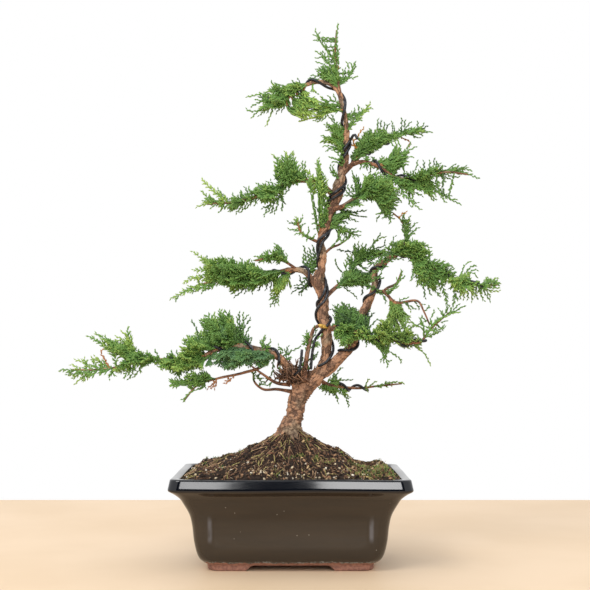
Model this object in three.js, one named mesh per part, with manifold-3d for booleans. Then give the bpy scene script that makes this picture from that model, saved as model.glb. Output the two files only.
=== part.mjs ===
// A wired itoigawa juniper bonsai in its glazed pot: millimetres, +Z up, front towards -Y.
// The tree is laid out around the middle of the pot, with the pot's feet at height 0. At the end
// the whole is moved so that the origin lies under the middle of its outer box.

import * as THREE from "three";
import { mergeVertices } from "three/addons/utils/BufferGeometryUtils.js";
import Module from "manifold-3d";

const wasm = await Module();
wasm.setup();

// Clearance between two pieces that touch
const GAP = 0.3;

// Pot: half sizes at the widest line of the rim, and what follows from them
const POT = {
  halfLength: 104,
  halfDepth: 79,
  rimCornerRadius: 9,
  baseCornerRadius: 12,
  footHeight: 5,
  footRing: 14,
  footGapHalfLength: 33,
  footGapHalfDepth: 20,
  floorTop: 12.5,
  holeRadius: 8,
  holeOffset: 36,
  cornerSteps: 5,
};

// Pot walls as [distance in from the widest line, height], from the feet up to the rim
const POT_OUTSIDE = [
  [32, 0], [31.4, 5], [26.2, 9], [23.5, 13.7], [20.6, 26], [19, 40], [17, 49],
  [12.3, 58], [9.3, 62.7], [4.1, 66.4], [0.6, 68.8], [0, 70.5], [1.5, 80], [2.6, 81],
];

// The same for the inside, from the rim down to the floor
const POT_INSIDE = [
  [8.4, 81], [9.4, 79.5], [11, 71], [17, 63], [23, 51], [26, 34], [28, 20], [33, 12.5],
];

// Soil: height of its edge at the wall, and of the mound over it as [share of the way out, height]
const SOIL_EDGE_HEIGHT = 76.8;
const MOUND = [[0.92, 82], [0.78, 86], [0.62, 93], [0.44, 99.5], [0.28, 105.5], [0.15, 112.5]];
const MOUND_TOP = 118;
const MOUND_ROUGHNESS = 1.1;
const MOUND_RIGHT_DROP = { from: 42, to: 84, depth: 5 };

// Plastic screens over the drainage holes
const SCREEN = { side: 26, thickness: 1, mesh: 5, bar: 2.4, holesPerRow: 3 };

// Training wire
const WIRE_RADIUS = 1.25;
const WIRE_SIDES = 5;
const WIRE_STEPS_PER_TURN = 8;
const WIRE_FREE_STEP = 6;
const WIRE_SEAT = 0.55;
const WIRED_CLEARANCE = 2 * WIRE_RADIUS + 2;

// Stems: points as [x, y, z, radius], from the base to the tip
const STEMS = {
  trunk: {
    sides: 8,
    spacing: 8.5,
    points: [
      [-1, 0, 92, 12], [-1, 0, 118, 10.5], [2, 0, 129, 8], [3, 0, 138, 8], [6, 0, 149, 9],
      [13, 0, 158, 9.5], [22, -1, 165, 7], [29, -2, 174, 5.2], [32, -2, 186, 4.3],
      [32, 0, 207, 4.6], [29, 2, 225, 5], [30, 3, 236, 4.2], [27, 3, 247, 4.6], [25, 2, 255, 5.2],
      [28, 1, 265, 3.2], [29, 0, 278, 2.8], [27, -2, 290, 3.2], [32, -3, 303, 3.3],
      [36, -2, 317, 3.5], [41, 0, 329, 5], [44, 1, 343, 4.4], [47, 2, 353, 3.6],
      [50, 3, 365, 2.7], [50, 3, 378, 2.8], [51, 2, 391, 2.5], [50, 1, 403, 2], [47, 0, 415, 1.9],
      [44, 0, 427, 1.8], [38, -1, 433, 1.6], [25, -3, 436, 1.5], [12, -5, 432, 1.4],
      [1, -7, 424, 1.2], [-7, -9, 416, 1], [-15, -10, 414, 0.8],
    ],
  },
  right_leader: {
    sides: 8,
    spacing: 9,
    wired: [30, 232],
    points: [
      [20, -1, 165, 5.7], [33, -2, 173, 5.2], [44, -4, 183, 4.4], [54, -6, 193, 3.8],
      [58, -8, 208, 3.6], [64, -9, 222, 3.3], [71, -10, 236, 3], [76, -10, 248, 2.8],
      [77, -9, 264, 2.4], [86, -10, 271, 2.1], [101, -12, 278, 1.9], [116, -16, 271, 1.7],
      [134, -20, 261, 1.4], [149, -24, 252, 1.1], [166, -27, 248, 0.9], [183, -29, 248, 0.7],
    ],
  },
  central_stem: {
    points: [[12, -8, 162, 2.2], [14, -10, 183, 2], [17, -10, 197, 1.9], [21, -9, 210, 1.5]],
  },
  left_lower_branch: {
    sides: 7,
    spacing: 10,
    wired: [8, 144],
    points: [
      [8, 0, 156, 4], [0, -4, 166, 3.8], [-7, -8, 181, 3.4], [-17, -10, 187, 3.2],
      [-31, -12, 191, 2.9], [-46, -14, 194, 2.6], [-62, -16, 192, 2.3], [-76, -18, 186, 2],
      [-92, -20, 181, 1.8], [-117, -22, 182, 1.4], [-138, -24, 183, 1.2], [-152, -25, 176, 1],
      [-173, -26, 173, 0.9], [-194, -27, 173, 0.7],
    ],
  },
  left_arched_twig: {
    points: [[-1, -3, 159, 1.5], [-13, -9, 161, 1.4], [-24, -14, 168, 1.1], [-35, -18, 176, 0.7]],
  },
  left_low_twig: {
    points: [
      [0, -1, 153, 1.5], [-13, -1, 155, 1.3], [-25, -3, 155, 1.1], [-33, -6, 162, 0.9],
      [-34, -8, 170, 0.7],
    ],
  },
  left_under_branch: {
    spacing: 14,
    points: [
      [-19, -10, 187, 1.6], [-26, -15, 176, 1.4], [-43, -19, 170, 1.2], [-66, -23, 165, 1],
      [-83, -27, 159, 0.8], [-94, -30, 146, 0.7],
    ],
  },
  left_middle_branch: {
    sides: 7,
    wired: [4, 94],
    points: [
      [27, 3, 243, 3], [19, 3, 255, 2.7], [11, 5, 263, 2.4], [-3, 8, 264, 2.2],
      [-18, 12, 260, 1.9], [-38, 16, 257, 1.6], [-62, 20, 256, 1.2], [-87, 24, 251, 0.8],
    ],
  },
  left_middle_upper_twig: {
    points: [[6, 6, 264, 1.3], [-5, 2, 271, 1.1], [-19, -6, 274, 0.9], [-32, -12, 271, 0.7]],
  },
  left_sprig_stem: {
    points: [[27, -2, 288, 1.4], [17, -6, 292, 1.2], [9, -10, 297, 0.9], [6, -14, 306, 0.7]],
  },
  left_upper_branch: {
    sides: 7,
    points: [
      [40, 0, 331, 2.5], [31, -2, 339, 2.3], [20, -4, 344, 2.1], [5, -6, 344, 1.9],
      [-10, -9, 338, 1.7], [-30, -12, 330, 1.3], [-51, -14, 324, 1], [-75, -16, 322, 0.7],
    ],
  },
  top_shoot: {
    points: [[45, 0, 425, 1.6], [43, 0, 440, 1.3], [41, 1, 457, 1.1], [41, 1, 471, 0.9], [42, 0, 485, 0.7]],
  },
  right_upper_branch: {
    wired: [10, 62],
    points: [
      [48, 2, 353, 2.4], [55, 5, 360, 2.2], [65, 9, 371, 1.9], [81, 14, 380, 1.5],
      [98, 18, 390, 1.1], [121, 22, 395, 0.7],
    ],
  },
  right_upper_front_branch: {
    wired: [16, 80],
    points: [
      [56, 5, 361, 1.8], [66, 0, 363, 1.7], [81, -6, 357, 1.5], [97, -12, 346, 1.3],
      [118, -18, 347, 1.1], [139, -23, 350, 0.9], [158, -27, 347, 0.7],
    ],
  },
  right_inner_branch: {
    points: [
      [37, -2, 318, 2.2], [47, -8, 321, 1.9], [59, -14, 328, 1.5], [68, -19, 329, 1.2],
      [78, -24, 325, 0.7],
    ],
  },
  right_middle_twig: {
    points: [[29, 0, 277, 1.3], [37, 1, 284, 1.1], [44, 4, 287, 0.9], [54, 8, 294, 0.7]],
  },
  right_middle_branch: {
    points: [
      [29, 3, 237, 2.3], [39, 7, 246, 1.9], [51, 13, 257, 1.6], [62, 22, 272, 1.2],
      [80, 28, 284, 0.7],
    ],
  },
  right_outer_twig: {
    points: [
      [74, -10, 244, 1.8], [84, -14, 242, 1.5], [94, -19, 233, 1.3], [113, -24, 234, 1],
      [118, -27, 225, 0.8], [123, -28, 213, 0.7],
    ],
  },
  right_back_twig: {
    points: [[83, -13, 243, 1.3], [88, -4, 247, 1.2], [97, 6, 252, 1], [102, 12, 263, 0.7]],
  },
  right_tuft_stem: {
    points: [[100, -12, 277, 1.4], [104, -8, 292, 1.1], [101, -6, 307, 0.8], [93, -5, 315, 0.7]],
  },
  right_lower_branch: {
    wired: [8, 100],
    points: [
      [32, 0, 210, 2.4], [46, -12, 209, 2.2], [66, -23, 203, 1.9], [84, -28, 201, 1.6],
      [100, -33, 197, 1.4], [114, -36, 198, 1.2], [123, -37, 209, 0.9], [139, -36, 223, 0.7],
    ],
  },
  lowest_right_branch: {
    wired: [18, 60],
    points: [
      [25, 2, 164, 1.8], [34, 12, 159, 1.6], [50, 22, 156, 1.3], [64, 30, 155, 1.1],
      [82, 35, 157, 0.9], [104, 38, 159, 0.7],
    ],
  },
};

const STEM_SIDES = 6;
const STEM_SPACING = 12;

// Where foliage keeps clear of the leader wires on the bent-over top of the trunk, along its length
const TRUNK_WIRED = [352, 410];

// Roots that leave the trunk's foot: [compass angle in degrees, reach, radius at the trunk]
const ROOTS = [[-70, 40, 4.2], [-12, 46, 4.6], [38, 38, 3.8], [98, 36, 4.4], [160, 42, 4], [208, 48, 4.8]];
const ROOT_SIDES = 6;
const ROOT_STEPS = 5;

// Wires: for each, the stem it winds on and keys of [distance along the stem, turns from the front].
// A lead is a free stretch before the first turn, a tail one after the last.
const WIRES = {
  leader_wire: {
    stem: "trunk",
    keys: [
      [92, -0.12], [97, 0], [110, 0.25], [128, 0.5], [153, 1], [207, 2], [253, 3], [295, 4],
      [334, 5], [377, 6], [398, 7], [404, 7.25],
    ],
  },
  leader_second_wire: {
    stem: "trunk",
    lead: [[18, -13, 173], [19, -13, 186], [21.5, -13, 199]],
    keys: [[124.5, -0.2], [129, 0], [159, 1], [213.8, 2], [259, 3], [301, 4], [306, 4.12]],
    tail: [[58, -5, 387], [61, -4, 383]],
  },
  left_lower_wire: {
    stem: "left_lower_branch",
    lead: [[10, -13.5, 191], [9, -14, 181], [7, -14.5, 171]],
    keys: [[16, -0.9], [36, 0], [62, 1], [91, 2], [112, 3], [134, 4], [140, 4.3]],
  },
  left_middle_wire: {
    stem: "left_middle_branch",
    keys: [[9, -0.35], [18, 0], [48, 1], [72, 2], [90, 2.75]],
  },
  right_leader_wire: {
    stem: "right_leader",
    keys: [
      [34, -0.25], [42, 0], [70, 1], [97, 2], [109, 2.2], [122, 3], [144, 4], [166, 5], [197, 6],
      [224, 7], [228, 7.2],
    ],
  },
  right_lower_wire: {
    stem: "right_lower_branch",
    keys: [[12, -0.25], [19, 0], [50, 1], [74, 2], [94, 3], [97, 3.2]],
  },
  right_upper_wire: {
    stem: "right_upper_branch",
    keys: [[14, -0.5], [28, 0], [48, 1], [60, 1.5]],
  },
  right_upper_front_wire: {
    stem: "right_upper_front_branch",
    keys: [[20, -1.3], [44, -0.5], [60, 0], [76, 0.6]],
  },
  lowest_right_wire: {
    stem: "lowest_right_branch",
    keys: [[22, -0.5], [33, 0], [52, 1], [58, 1.25]],
  },
};

// Foliage pads: each is one or more sprays, as [half height, half depth, points of its middle line]
const FOLIAGE = {
  left_lower_foliage: [
    [19, 34, [[-100, -20, 196], [-72, -18, 206], [-44, -14, 208], [-22, -12, 200]]],
    [11, 27, [[-172, -26, 181], [-140, -24, 184], [-96, -22, 186]]],
  ],
  left_lower_tip_foliage: [
    [8, 18, [[-206, -28, 172], [-186, -28, 174], [-168, -26, 176]]],
    [6, 11, [[-152, -26, 186], [-164, -28, 199], [-184, -30, 206]]],
    [9, 16, [[-174, -26, 177], [-150, -26, 190]]],
  ],
  left_under_foliage: [[8, 18, [[-110, -30, 164], [-92, -29, 163], [-70, -24, 166]]]],
  left_middle_foliage: [
    [15, 30, [[-66, 18, 262], [-40, 14, 261], [-12, 10, 259]]],
    [8, 10, [[-8, 6, 256], [-16, 0, 242], [-18, -4, 233]]],
  ],
  left_middle_tip_foliage: [
    [10, 23, [[-108, 26, 237], [-88, 24, 249], [-60, 20, 258]]],
    [8, 17, [[-90, 22, 278], [-70, 20, 269], [-52, 18, 262]]],
  ],
  left_middle_upper_foliage: [[8, 18, [[-40, -12, 271], [-20, -6, 278], [2, 0, 274]]]],
  left_sprig_foliage: [[8, 11, [[10, -10, 291], [6, -13, 303], [5, -15, 313]]]],
  left_upper_foliage: [
    [14, 30, [[-52, -12, 330], [-20, -9, 336], [12, -6, 346]]],
    [9, 17, [[-18, -8, 364], [4, -10, 358], [24, -12, 356]]],
    [9, 14, [[-20, -9, 345], [-10, -8, 362]]],
  ],
  left_upper_tip_foliage: [
    [9, 20, [[-87, -18, 320], [-66, -16, 323], [-48, -14, 324]]],
    [6, 12, [[-80, -18, 345], [-66, -16, 334], [-52, -14, 326]]],
  ],
  apex_foliage: [
    [12, 22, [[-38, -12, 418], [-14, -10, 422], [14, -6, 426]]],
    [8, 12, [[47, -2, 408], [26, -8, 405], [-2, -10, 406]]],
  ],
  top_foliage: [
    [12, 16, [[40, 0, 446], [36, 0, 466], [41, 0, 492]]],
    [6, 9, [[46, 2, 442], [54, 3, 452], [59, 3, 459]]],
  ],
  upper_left_sprig_foliage: [
    [6, 9, [[50, 2, 376], [38, -4, 379], [32, -5, 390], [35, -4, 404]]],
    [5, 8, [[42, -3, 378], [35, -5, 370], [34, -4, 359]]],
  ],
  upper_right_sprig_foliage: [[6, 9, [[51, 2, 393], [60, -4, 398], [67, -6, 406], [73, -6, 416]]]],
  right_upper_foliage: [[12, 30, [[62, 11, 381], [92, 17, 391], [132, 22, 394]]]],
  right_upper_front_foliage: [
    [11, 25, [[94, -12, 352], [130, -21, 352], [172, -27, 348]]],
    [6, 12, [[118, -20, 342], [140, -24, 334], [154, -26, 324]]],
  ],
  right_inner_foliage: [[17, 24, [[54, -14, 322], [76, -21, 326], [102, -27, 322]]]],
  right_middle_twig_foliage: [[7, 12, [[48, 6, 290], [60, 10, 298], [76, 13, 306]]]],
  right_middle_foliage: [
    [12, 26, [[52, 16, 252], [62, 22, 272], [82, 30, 292]]],
    [9, 14, [[60, 20, 256], [50, 18, 240], [46, 16, 224]]],
  ],
  right_tuft_foliage: [[9, 17, [[104, -9, 287], [103, -7, 302], [97, -5, 317]]]],
  right_leader_foliage: [
    [12, 25, [[106, -14, 270], [134, -20, 262], [162, -26, 254]]],
    [10, 21, [[148, -24, 256], [170, -28, 250], [192, -30, 250]]],
  ],
  right_outer_foliage: [[9, 17, [[88, -17, 236], [110, -24, 232], [138, -30, 226]]]],
  right_lower_foliage: [[15, 25, [[60, -20, 202], [88, -29, 200], [122, -38, 193]]]],
  right_lower_fan_foliage: [[10, 16, [[122, -37, 210], [134, -37, 220], [156, -37, 232]]]],
  lowest_right_foliage: [
    [11, 18, [[34, 14, 161], [48, 24, 154], [62, 30, 148]]],
    [5, 11, [[52, 25, 154], [78, 34, 158], [106, 39, 160]]],
  ],
};

const SPRAY_SIDES = 6;
const SPRAY_STEPS = 4;
const SPRAY_END = 0.3;

// Finishes
const FINISH = {
  glaze: { color: 0x2b2622, roughness: 0.15, metalness: 0 },
  soil: { color: 0x33261d, roughness: 0.95, metalness: 0 },
  plastic: { color: 0x1d2320, roughness: 0.6, metalness: 0 },
  bark: { color: 0x8a5a41, roughness: 0.9, metalness: 0 },
  twig: { color: 0x9a5f3a, roughness: 0.85, metalness: 0 },
  foliage: { color: 0x3f7a33, roughness: 0.7, metalness: 0 },
  wire: { color: 0x23272d, roughness: 0.45, metalness: 0.6 },
};

// A closed three.js geometry as a solid that can be cut and joined
function solidOf(geometry) {
  const bare = geometry.clone();
  bare.deleteAttribute("normal");
  bare.deleteAttribute("uv");
  const merged = mergeVertices(bare, 1e-4);
  const mesh = new wasm.Mesh({
    numProp: 3,
    vertProperties: new Float32Array(merged.attributes.position.array),
    triVerts: new Uint32Array(merged.index.array),
  });
  return new wasm.Manifold(mesh);
}

// A solid as a three.js geometry
function geometryOf(solid) {
  const mesh = solid.getMesh();
  const geometry = new THREE.BufferGeometry();
  geometry.setAttribute("position", new THREE.BufferAttribute(mesh.vertProperties, 3));
  geometry.setIndex(new THREE.BufferAttribute(mesh.triVerts, 1));
  geometry.computeVertexNormals();
  return geometry;
}

function boxesMeet(one, other) {
  const a = one.boundingBox();
  const b = other.boundingBox();
  return [0, 1, 2].every((axis) => a.min[axis] < b.max[axis] && b.min[axis] < a.max[axis]);
}

// What is left of a solid once its neighbours are cut away, as one piece
function carve(solid, neighbours) {
  let left = solid;
  for (const neighbour of neighbours) {
    if (boxesMeet(left, neighbour)) left = left.subtract(neighbour);
  }
  const pieces = left.decompose();
  pieces.sort((a, b) => b.volume() - a.volume());
  return pieces[0];
}

function blend(a, b, share) {
  return a + (b - a) * share;
}

// Value at a place in a list of [place, value] keys
function keyed(keys, place) {
  const last = keys.length - 1;
  if (place <= keys[0][0]) return keys[0][1];
  for (let i = 0; i < last; i += 1) {
    const [from, low] = keys[i];
    const [to, high] = keys[i + 1];
    if (place <= to) return blend(low, high, (place - from) / (to - from));
  }
  return keys[last][1];
}

// A stem's or spray's middle line, measured by length, with a front and a side direction
class MiddleLine {
  constructor(points) {
    const places = points.map(([x, y, z]) => new THREE.Vector3(x, y, z));
    this.curve = new THREE.CatmullRomCurve3(places, false, "centripetal");
    this.curve.arcLengthDivisions = 40 * places.length;
    this.length = this.curve.getLength();
    this.radii = points.map((point) => point[3]);
  }

  radiusAt(distance) {
    const share = this.curve.getUtoTmapping(0, Math.min(distance, this.length));
    const place = share * (this.radii.length - 1);
    const index = Math.min(Math.floor(place), this.radii.length - 2);
    return blend(this.radii[index], this.radii[index + 1], place - index);
  }

  frameAt(distance) {
    const share = THREE.MathUtils.clamp(distance / this.length, 0, 1);
    const centre = this.curve.getPointAt(share);
    const along = this.curve.getTangentAt(share);
    const front = new THREE.Vector3(0, -1, 0);
    front.addScaledVector(along, -front.dot(along)).normalize();
    const side = new THREE.Vector3().crossVectors(along, front);
    return { centre, along, front, side };
  }
}

// A closed tube along a middle line: sizeAt gives its half sizes to the front and to the side
function sweep(line, sides, steps, sizeAt, grow) {
  const geometry = new THREE.CylinderGeometry(1, 1, 1, sides, steps);
  const position = geometry.attributes.position;
  for (let i = 0; i < position.count; i += 1) {
    const share = position.getY(i) + 0.5;
    const { centre, along, front, side } = line.frameAt(share * line.length);
    const [toFront, toSide] = sizeAt(share);
    if (share < 1e-6) centre.addScaledVector(along, -grow);
    if (share > 1 - 1e-6) centre.addScaledVector(along, grow);
    centre.addScaledVector(front, position.getX(i) * (toFront + grow));
    centre.addScaledVector(side, -position.getZ(i) * (toSide + grow));
    position.setXYZ(i, centre.x, centre.y, centre.z);
  }
  return solidOf(geometry);
}

// A tapered stem, or with grow the room that it takes from its neighbours
function stemSolid(line, stem, growAt) {
  const sides = stem.sides ?? STEM_SIDES;
  const steps = Math.ceil(line.length / (stem.spacing ?? STEM_SPACING));
  const sizeAt = (share) => {
    const radius = line.radiusAt(share * line.length) + growAt(share * line.length);
    return [radius, radius];
  };
  return sweep(line, sides, steps, sizeAt, growAt(0) > 0 ? GAP : 0);
}

// A point on a rounded rectangle, by its number around the outline
function outlinePoint(number, halfLength, halfDepth, cornerRadius) {
  const corner = Math.floor(number / POT.cornerSteps);
  const turn = (number % POT.cornerSteps) / (POT.cornerSteps - 1);
  const angle = (corner + turn) * (Math.PI / 2);
  const signX = corner === 0 || corner === 3 ? 1 : -1;
  const signY = corner < 2 ? 1 : -1;
  const radius = Math.min(cornerRadius, halfLength, halfDepth);
  return [
    signX * (halfLength - radius) + radius * Math.cos(angle),
    signY * (halfDepth - radius) + radius * Math.sin(angle),
  ];
}

// A lathe form pulled from a circle on to rounded rectangles: rings hold the half sizes and heights
function rectangularLathe(rings, heightAt = (x, y, height) => height) {
  const around = 4 * POT.cornerSteps;
  const profile = rings.map((ring) => new THREE.Vector2(ring.halfLength, ring.height));
  const geometry = new THREE.LatheGeometry(profile, around);
  const position = geometry.attributes.position;
  for (let i = 0; i < position.count; i += 1) {
    const ring = rings[i % rings.length];
    const number = Math.floor(i / rings.length) % around;
    const [x, y] = outlinePoint(number, ring.halfLength, ring.halfDepth, ring.cornerRadius);
    position.setXYZ(i, x, y, heightAt(x, y, ring.height));
  }
  return solidOf(geometry);
}

function potRing([inset, height]) {
  const share = inset / POT_OUTSIDE[0][0];
  return {
    halfLength: POT.halfLength - inset,
    halfDepth: POT.halfDepth - inset,
    cornerRadius: blend(POT.rimCornerRadius, POT.baseCornerRadius, share),
    height,
  };
}

function middlePoint(height) {
  return { halfLength: 0, halfDepth: 0, cornerRadius: 0, height };
}

function boxSolid(length, depth, height, x, y, z) {
  const geometry = new THREE.BoxGeometry(length, depth, height);
  geometry.translate(x, y, z);
  return solidOf(geometry);
}

function drainageHole(x) {
  const height = 4 * POT.floorTop;
  const geometry = new THREE.CylinderGeometry(POT.holeRadius, POT.holeRadius, height, 14);
  geometry.rotateX(Math.PI / 2);
  geometry.translate(x, 0, 0);
  return solidOf(geometry);
}

function potSolid() {
  const rings = [
    middlePoint(0), ...POT_OUTSIDE.map(potRing), ...POT_INSIDE.map(potRing), middlePoint(POT.floorTop),
  ];
  const base = potRing(POT_OUTSIDE[0]);
  const innerLength = 2 * (base.halfLength - POT.footRing);
  const innerDepth = 2 * (base.halfDepth - POT.footRing);
  const cutHeight = 2 * POT.footHeight;
  let pot = rectangularLathe(rings);
  pot = pot.subtract(boxSolid(innerLength, innerDepth, cutHeight, 0, 0, 0));
  pot = pot.subtract(boxSolid(2 * POT.footGapHalfLength, 3 * POT.halfDepth, cutHeight, 0, 0, 0));
  pot = pot.subtract(boxSolid(3 * POT.halfLength, 2 * POT.footGapHalfDepth, cutHeight, 0, 0, 0));
  for (const x of [-POT.holeOffset, POT.holeOffset]) pot = pot.subtract(drainageHole(x));
  return pot;
}

function moundRing([share, height]) {
  const edge = potRing(POT_INSIDE[1]);
  const halfDepth = share * edge.halfDepth;
  return {
    halfLength: share * edge.halfLength,
    halfDepth,
    cornerRadius: blend(halfDepth, edge.cornerRadius, share * share),
    height,
  };
}

// The soil fills the pot to its edge and rises in a rough mound to the trunk
function soilSolid() {
  const inside = (inset, height) => potRing([inset + GAP, height]);
  const wall = POT_INSIDE.slice(2).reverse().map(([inset, height]) => inside(inset, height));
  wall[0].height += GAP;
  const edge = inside(POT_INSIDE[2][0] - 0.6, SOIL_EDGE_HEIGHT);
  const rings = [
    middlePoint(POT.floorTop + GAP), ...wall, edge, ...MOUND.map(moundRing), middlePoint(MOUND_TOP),
  ];
  const heightAt = (x, y, height) => {
    if (height <= SOIL_EDGE_HEIGHT) return height;
    const { from, to, depth } = MOUND_RIGHT_DROP;
    const drop = depth * Math.sin(Math.PI * THREE.MathUtils.smoothstep(x, from, to));
    const bumps = MOUND_ROUGHNESS * (Math.sin(0.31 * x + 0.9) + Math.cos(0.27 * y - 0.16 * x));
    return Math.max(height + bumps - drop, SOIL_EDGE_HEIGHT);
  };
  return rectangularLathe(rings, heightAt);
}

// A square plastic screen with a grid of openings, lying on the pot's floor
function screenSolid(x, grow) {
  const { side, thickness, mesh, bar, holesPerRow } = SCREEN;
  const middle = POT.floorTop + GAP + thickness / 2;
  let screen = boxSolid(side + 2 * grow, side + 2 * grow, thickness + 2 * grow, x, 0, middle);
  if (grow > 0) return screen;
  const pitch = mesh + bar;
  const first = -(holesPerRow - 1) / 2;
  for (let row = 0; row < holesPerRow; row += 1) {
    for (let column = 0; column < holesPerRow; column += 1) {
      const holeX = x + (first + column) * pitch;
      const holeY = (first + row) * pitch;
      screen = screen.subtract(boxSolid(mesh, mesh, 3 * thickness, holeX, holeY, middle));
    }
  }
  return screen;
}

// A surface root: it leaves the trunk's foot, shows as a low ridge and dives into the soil
function rootSolid([angle, reach, radius], grow) {
  const turn = THREE.MathUtils.degToRad(angle);
  const at = (distance, height) => [distance * Math.cos(turn) - 1, distance * Math.sin(turn), height];
  const points = [
    [...at(0, 119), radius], [...at(11, 114), radius], [...at(0.55 * reach, 101), 0.62 * radius],
    [...at(0.8 * reach, 90), 0.45 * radius], [...at(reach, 70), 0.3 * radius],
  ];
  const line = new MiddleLine(points);
  const sizeAt = (share) => {
    const size = line.radiusAt(share * line.length);
    return [size, size];
  };
  return sweep(line, ROOT_SIDES, ROOT_STEPS, sizeAt, grow);
}

function trunkSolid(growAt, rootGrow) {
  let trunk = stemSolid(lines.trunk, STEMS.trunk, growAt);
  for (const root of ROOTS) trunk = trunk.add(rootSolid(root, rootGrow));
  return trunk;
}

// Points of a wire wound on a stem, just outside its bark
function coilPoints(line, keys) {
  const reach = 1 / Math.cos(Math.PI / WIRE_STEPS_PER_TURN);
  const [firstPlace, firstTurn] = keys[0];
  const [lastPlace, lastTurn] = keys[keys.length - 1];
  const turns = keys.map(([place, turn]) => [turn, place]);
  const count = Math.ceil((lastTurn - firstTurn) * WIRE_STEPS_PER_TURN);
  const points = [];
  for (let i = 0; i <= count; i += 1) {
    const turn = blend(firstTurn, lastTurn, i / count);
    const place = THREE.MathUtils.clamp(keyed(turns, turn), firstPlace, lastPlace);
    const { centre, front, side } = line.frameAt(place);
    const radius = (line.radiusAt(place) + WIRE_RADIUS) * reach + WIRE_SEAT;
    centre.addScaledVector(front, radius * Math.cos(2 * Math.PI * turn));
    centre.addScaledVector(side, radius * Math.sin(2 * Math.PI * turn));
    points.push(centre);
  }
  return points;
}

function wirePoints(wire) {
  const vectors = (points = []) => points.map(([x, y, z]) => new THREE.Vector3(x, y, z));
  return [...vectors(wire.lead), ...coilPoints(lines[wire.stem], wire.keys), ...vectors(wire.tail)];
}

// A wire's round section swept along its route, or with grow the room that it takes
function wireSolid(wire, grow) {
  const points = wirePoints(wire);
  const section = new THREE.Shape();
  for (let i = 0; i < WIRE_SIDES; i += 1) {
    const angle = (2 * Math.PI * i) / WIRE_SIDES;
    const radius = WIRE_RADIUS + grow;
    section[i ? "lineTo" : "moveTo"](radius * Math.cos(angle), radius * Math.sin(angle));
  }
  section.closePath();
  const path = new THREE.CatmullRomCurve3(points, false, "centripetal");
  const freeLength = path.getLength() / WIRE_FREE_STEP;
  const steps = Math.ceil(Math.max(points.length - 1, Math.min(freeLength, points.length * 1.15)));
  const geometry = new THREE.ExtrudeGeometry(section, { steps, bevelEnabled: false, extrudePath: path });
  return solidOf(geometry);
}

// One foliage pad: its sprays joined, fullest in the middle and narrow at both ends
function padSolid(sprays, grow) {
  const solids = sprays.map(([halfHeight, halfDepth, points]) => {
    const line = new MiddleLine(points.map(([x, y, z]) => [x, y, z, 0]));
    const sizeAt = (share) => {
      const fullness = SPRAY_END + (1 - SPRAY_END) * Math.sin(Math.PI * (0.08 + 0.84 * share));
      return [halfDepth * fullness, halfHeight * fullness];
    };
    return sweep(line, SPRAY_SIDES, SPRAY_STEPS, sizeAt, grow);
  });
  return solids.reduce((joined, solid) => joined.add(solid));
}

function finish(name) {
  return new THREE.MeshStandardMaterial(FINISH[name]);
}

const tree = new THREE.Group();

function show(name, solid, finishName) {
  const mesh = new THREE.Mesh(geometryOf(solid), finish(finishName));
  mesh.name = name;
  tree.add(mesh);
}

const lines = {};
for (const [name, stem] of Object.entries(STEMS)) lines[name] = new MiddleLine(stem.points);

// Room that each stem keeps: its own bark and, where it is wired, the wire too
function clearanceAt(span) {
  return (place) => (span && place >= span[0] && place <= span[1] ? WIRED_CLEARANCE : GAP);
}

const bark = [];
const wiredBark = [];

function addTrunk() {
  const trunk = trunkSolid(() => 0, 0);
  show("trunk", trunk, "bark");
  bark.push(trunkSolid(() => GAP, GAP));
  wiredBark.push(stemSolid(lines.trunk, STEMS.trunk, clearanceAt(TRUNK_WIRED)));
}

function addStems() {
  for (const [name, stem] of Object.entries(STEMS)) {
    if (name === "trunk") continue;
    const solid = carve(stemSolid(lines[name], stem, () => 0), bark);
    show(name, solid, lines[name].radii[0] > 2.5 ? "bark" : "twig");
    bark.push(stemSolid(lines[name], stem, () => GAP));
    wiredBark.push(stemSolid(lines[name], stem, clearanceAt(stem.wired)));
  }
}

function addPotAndSoil() {
  const screens = { drainage_screen_left: -POT.holeOffset, drainage_screen_right: POT.holeOffset };
  show("pot", potSolid(), "glaze");
  for (const [name, x] of Object.entries(screens)) show(name, screenSolid(x, 0), "plastic");
  const rooms = Object.values(screens).map((x) => screenSolid(x, GAP));
  show("soil", carve(soilSolid(), [bark[0], ...rooms]), "soil");
}

function addWires() {
  return Object.entries(WIRES).map(([name, wire]) => {
    show(name, wireSolid(wire, 0), "wire");
    return wireSolid(wire, GAP);
  });
}

function addFoliage(wires) {
  const rooms = [...wiredBark, ...wires];
  for (const [name, sprays] of Object.entries(FOLIAGE)) {
    show(name, carve(padSolid(sprays, 0), rooms), "foliage");
    rooms.push(padSolid(sprays, GAP));
  }
}

addTrunk();
addStems();
addPotAndSoil();
addFoliage(addWires());

// Origin under the middle of the outer box, on the surface that the pot stands on
const box = new THREE.Box3().setFromObject(tree);
tree.position.set(-(box.min.x + box.max.x) / 2, -(box.min.y + box.max.y) / 2, -box.min.z);

export default tree;
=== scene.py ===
"""A wired itoigawa juniper bonsai in its glazed pot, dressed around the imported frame.

Shapes are laid out in millimetres around the middle of the pot, with its feet at height 0 and the
front towards -Y. A finished mesh is moved into the frame and scaled to metres in one step.
"""

import logging
import math
import random
from dataclasses import dataclass, field
from enum import Enum
from typing import Callable, Sequence

import bmesh
import bpy
import numpy as np
from mathutils import Matrix, Vector, noise
from mathutils.bvhtree import BVHTree


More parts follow.
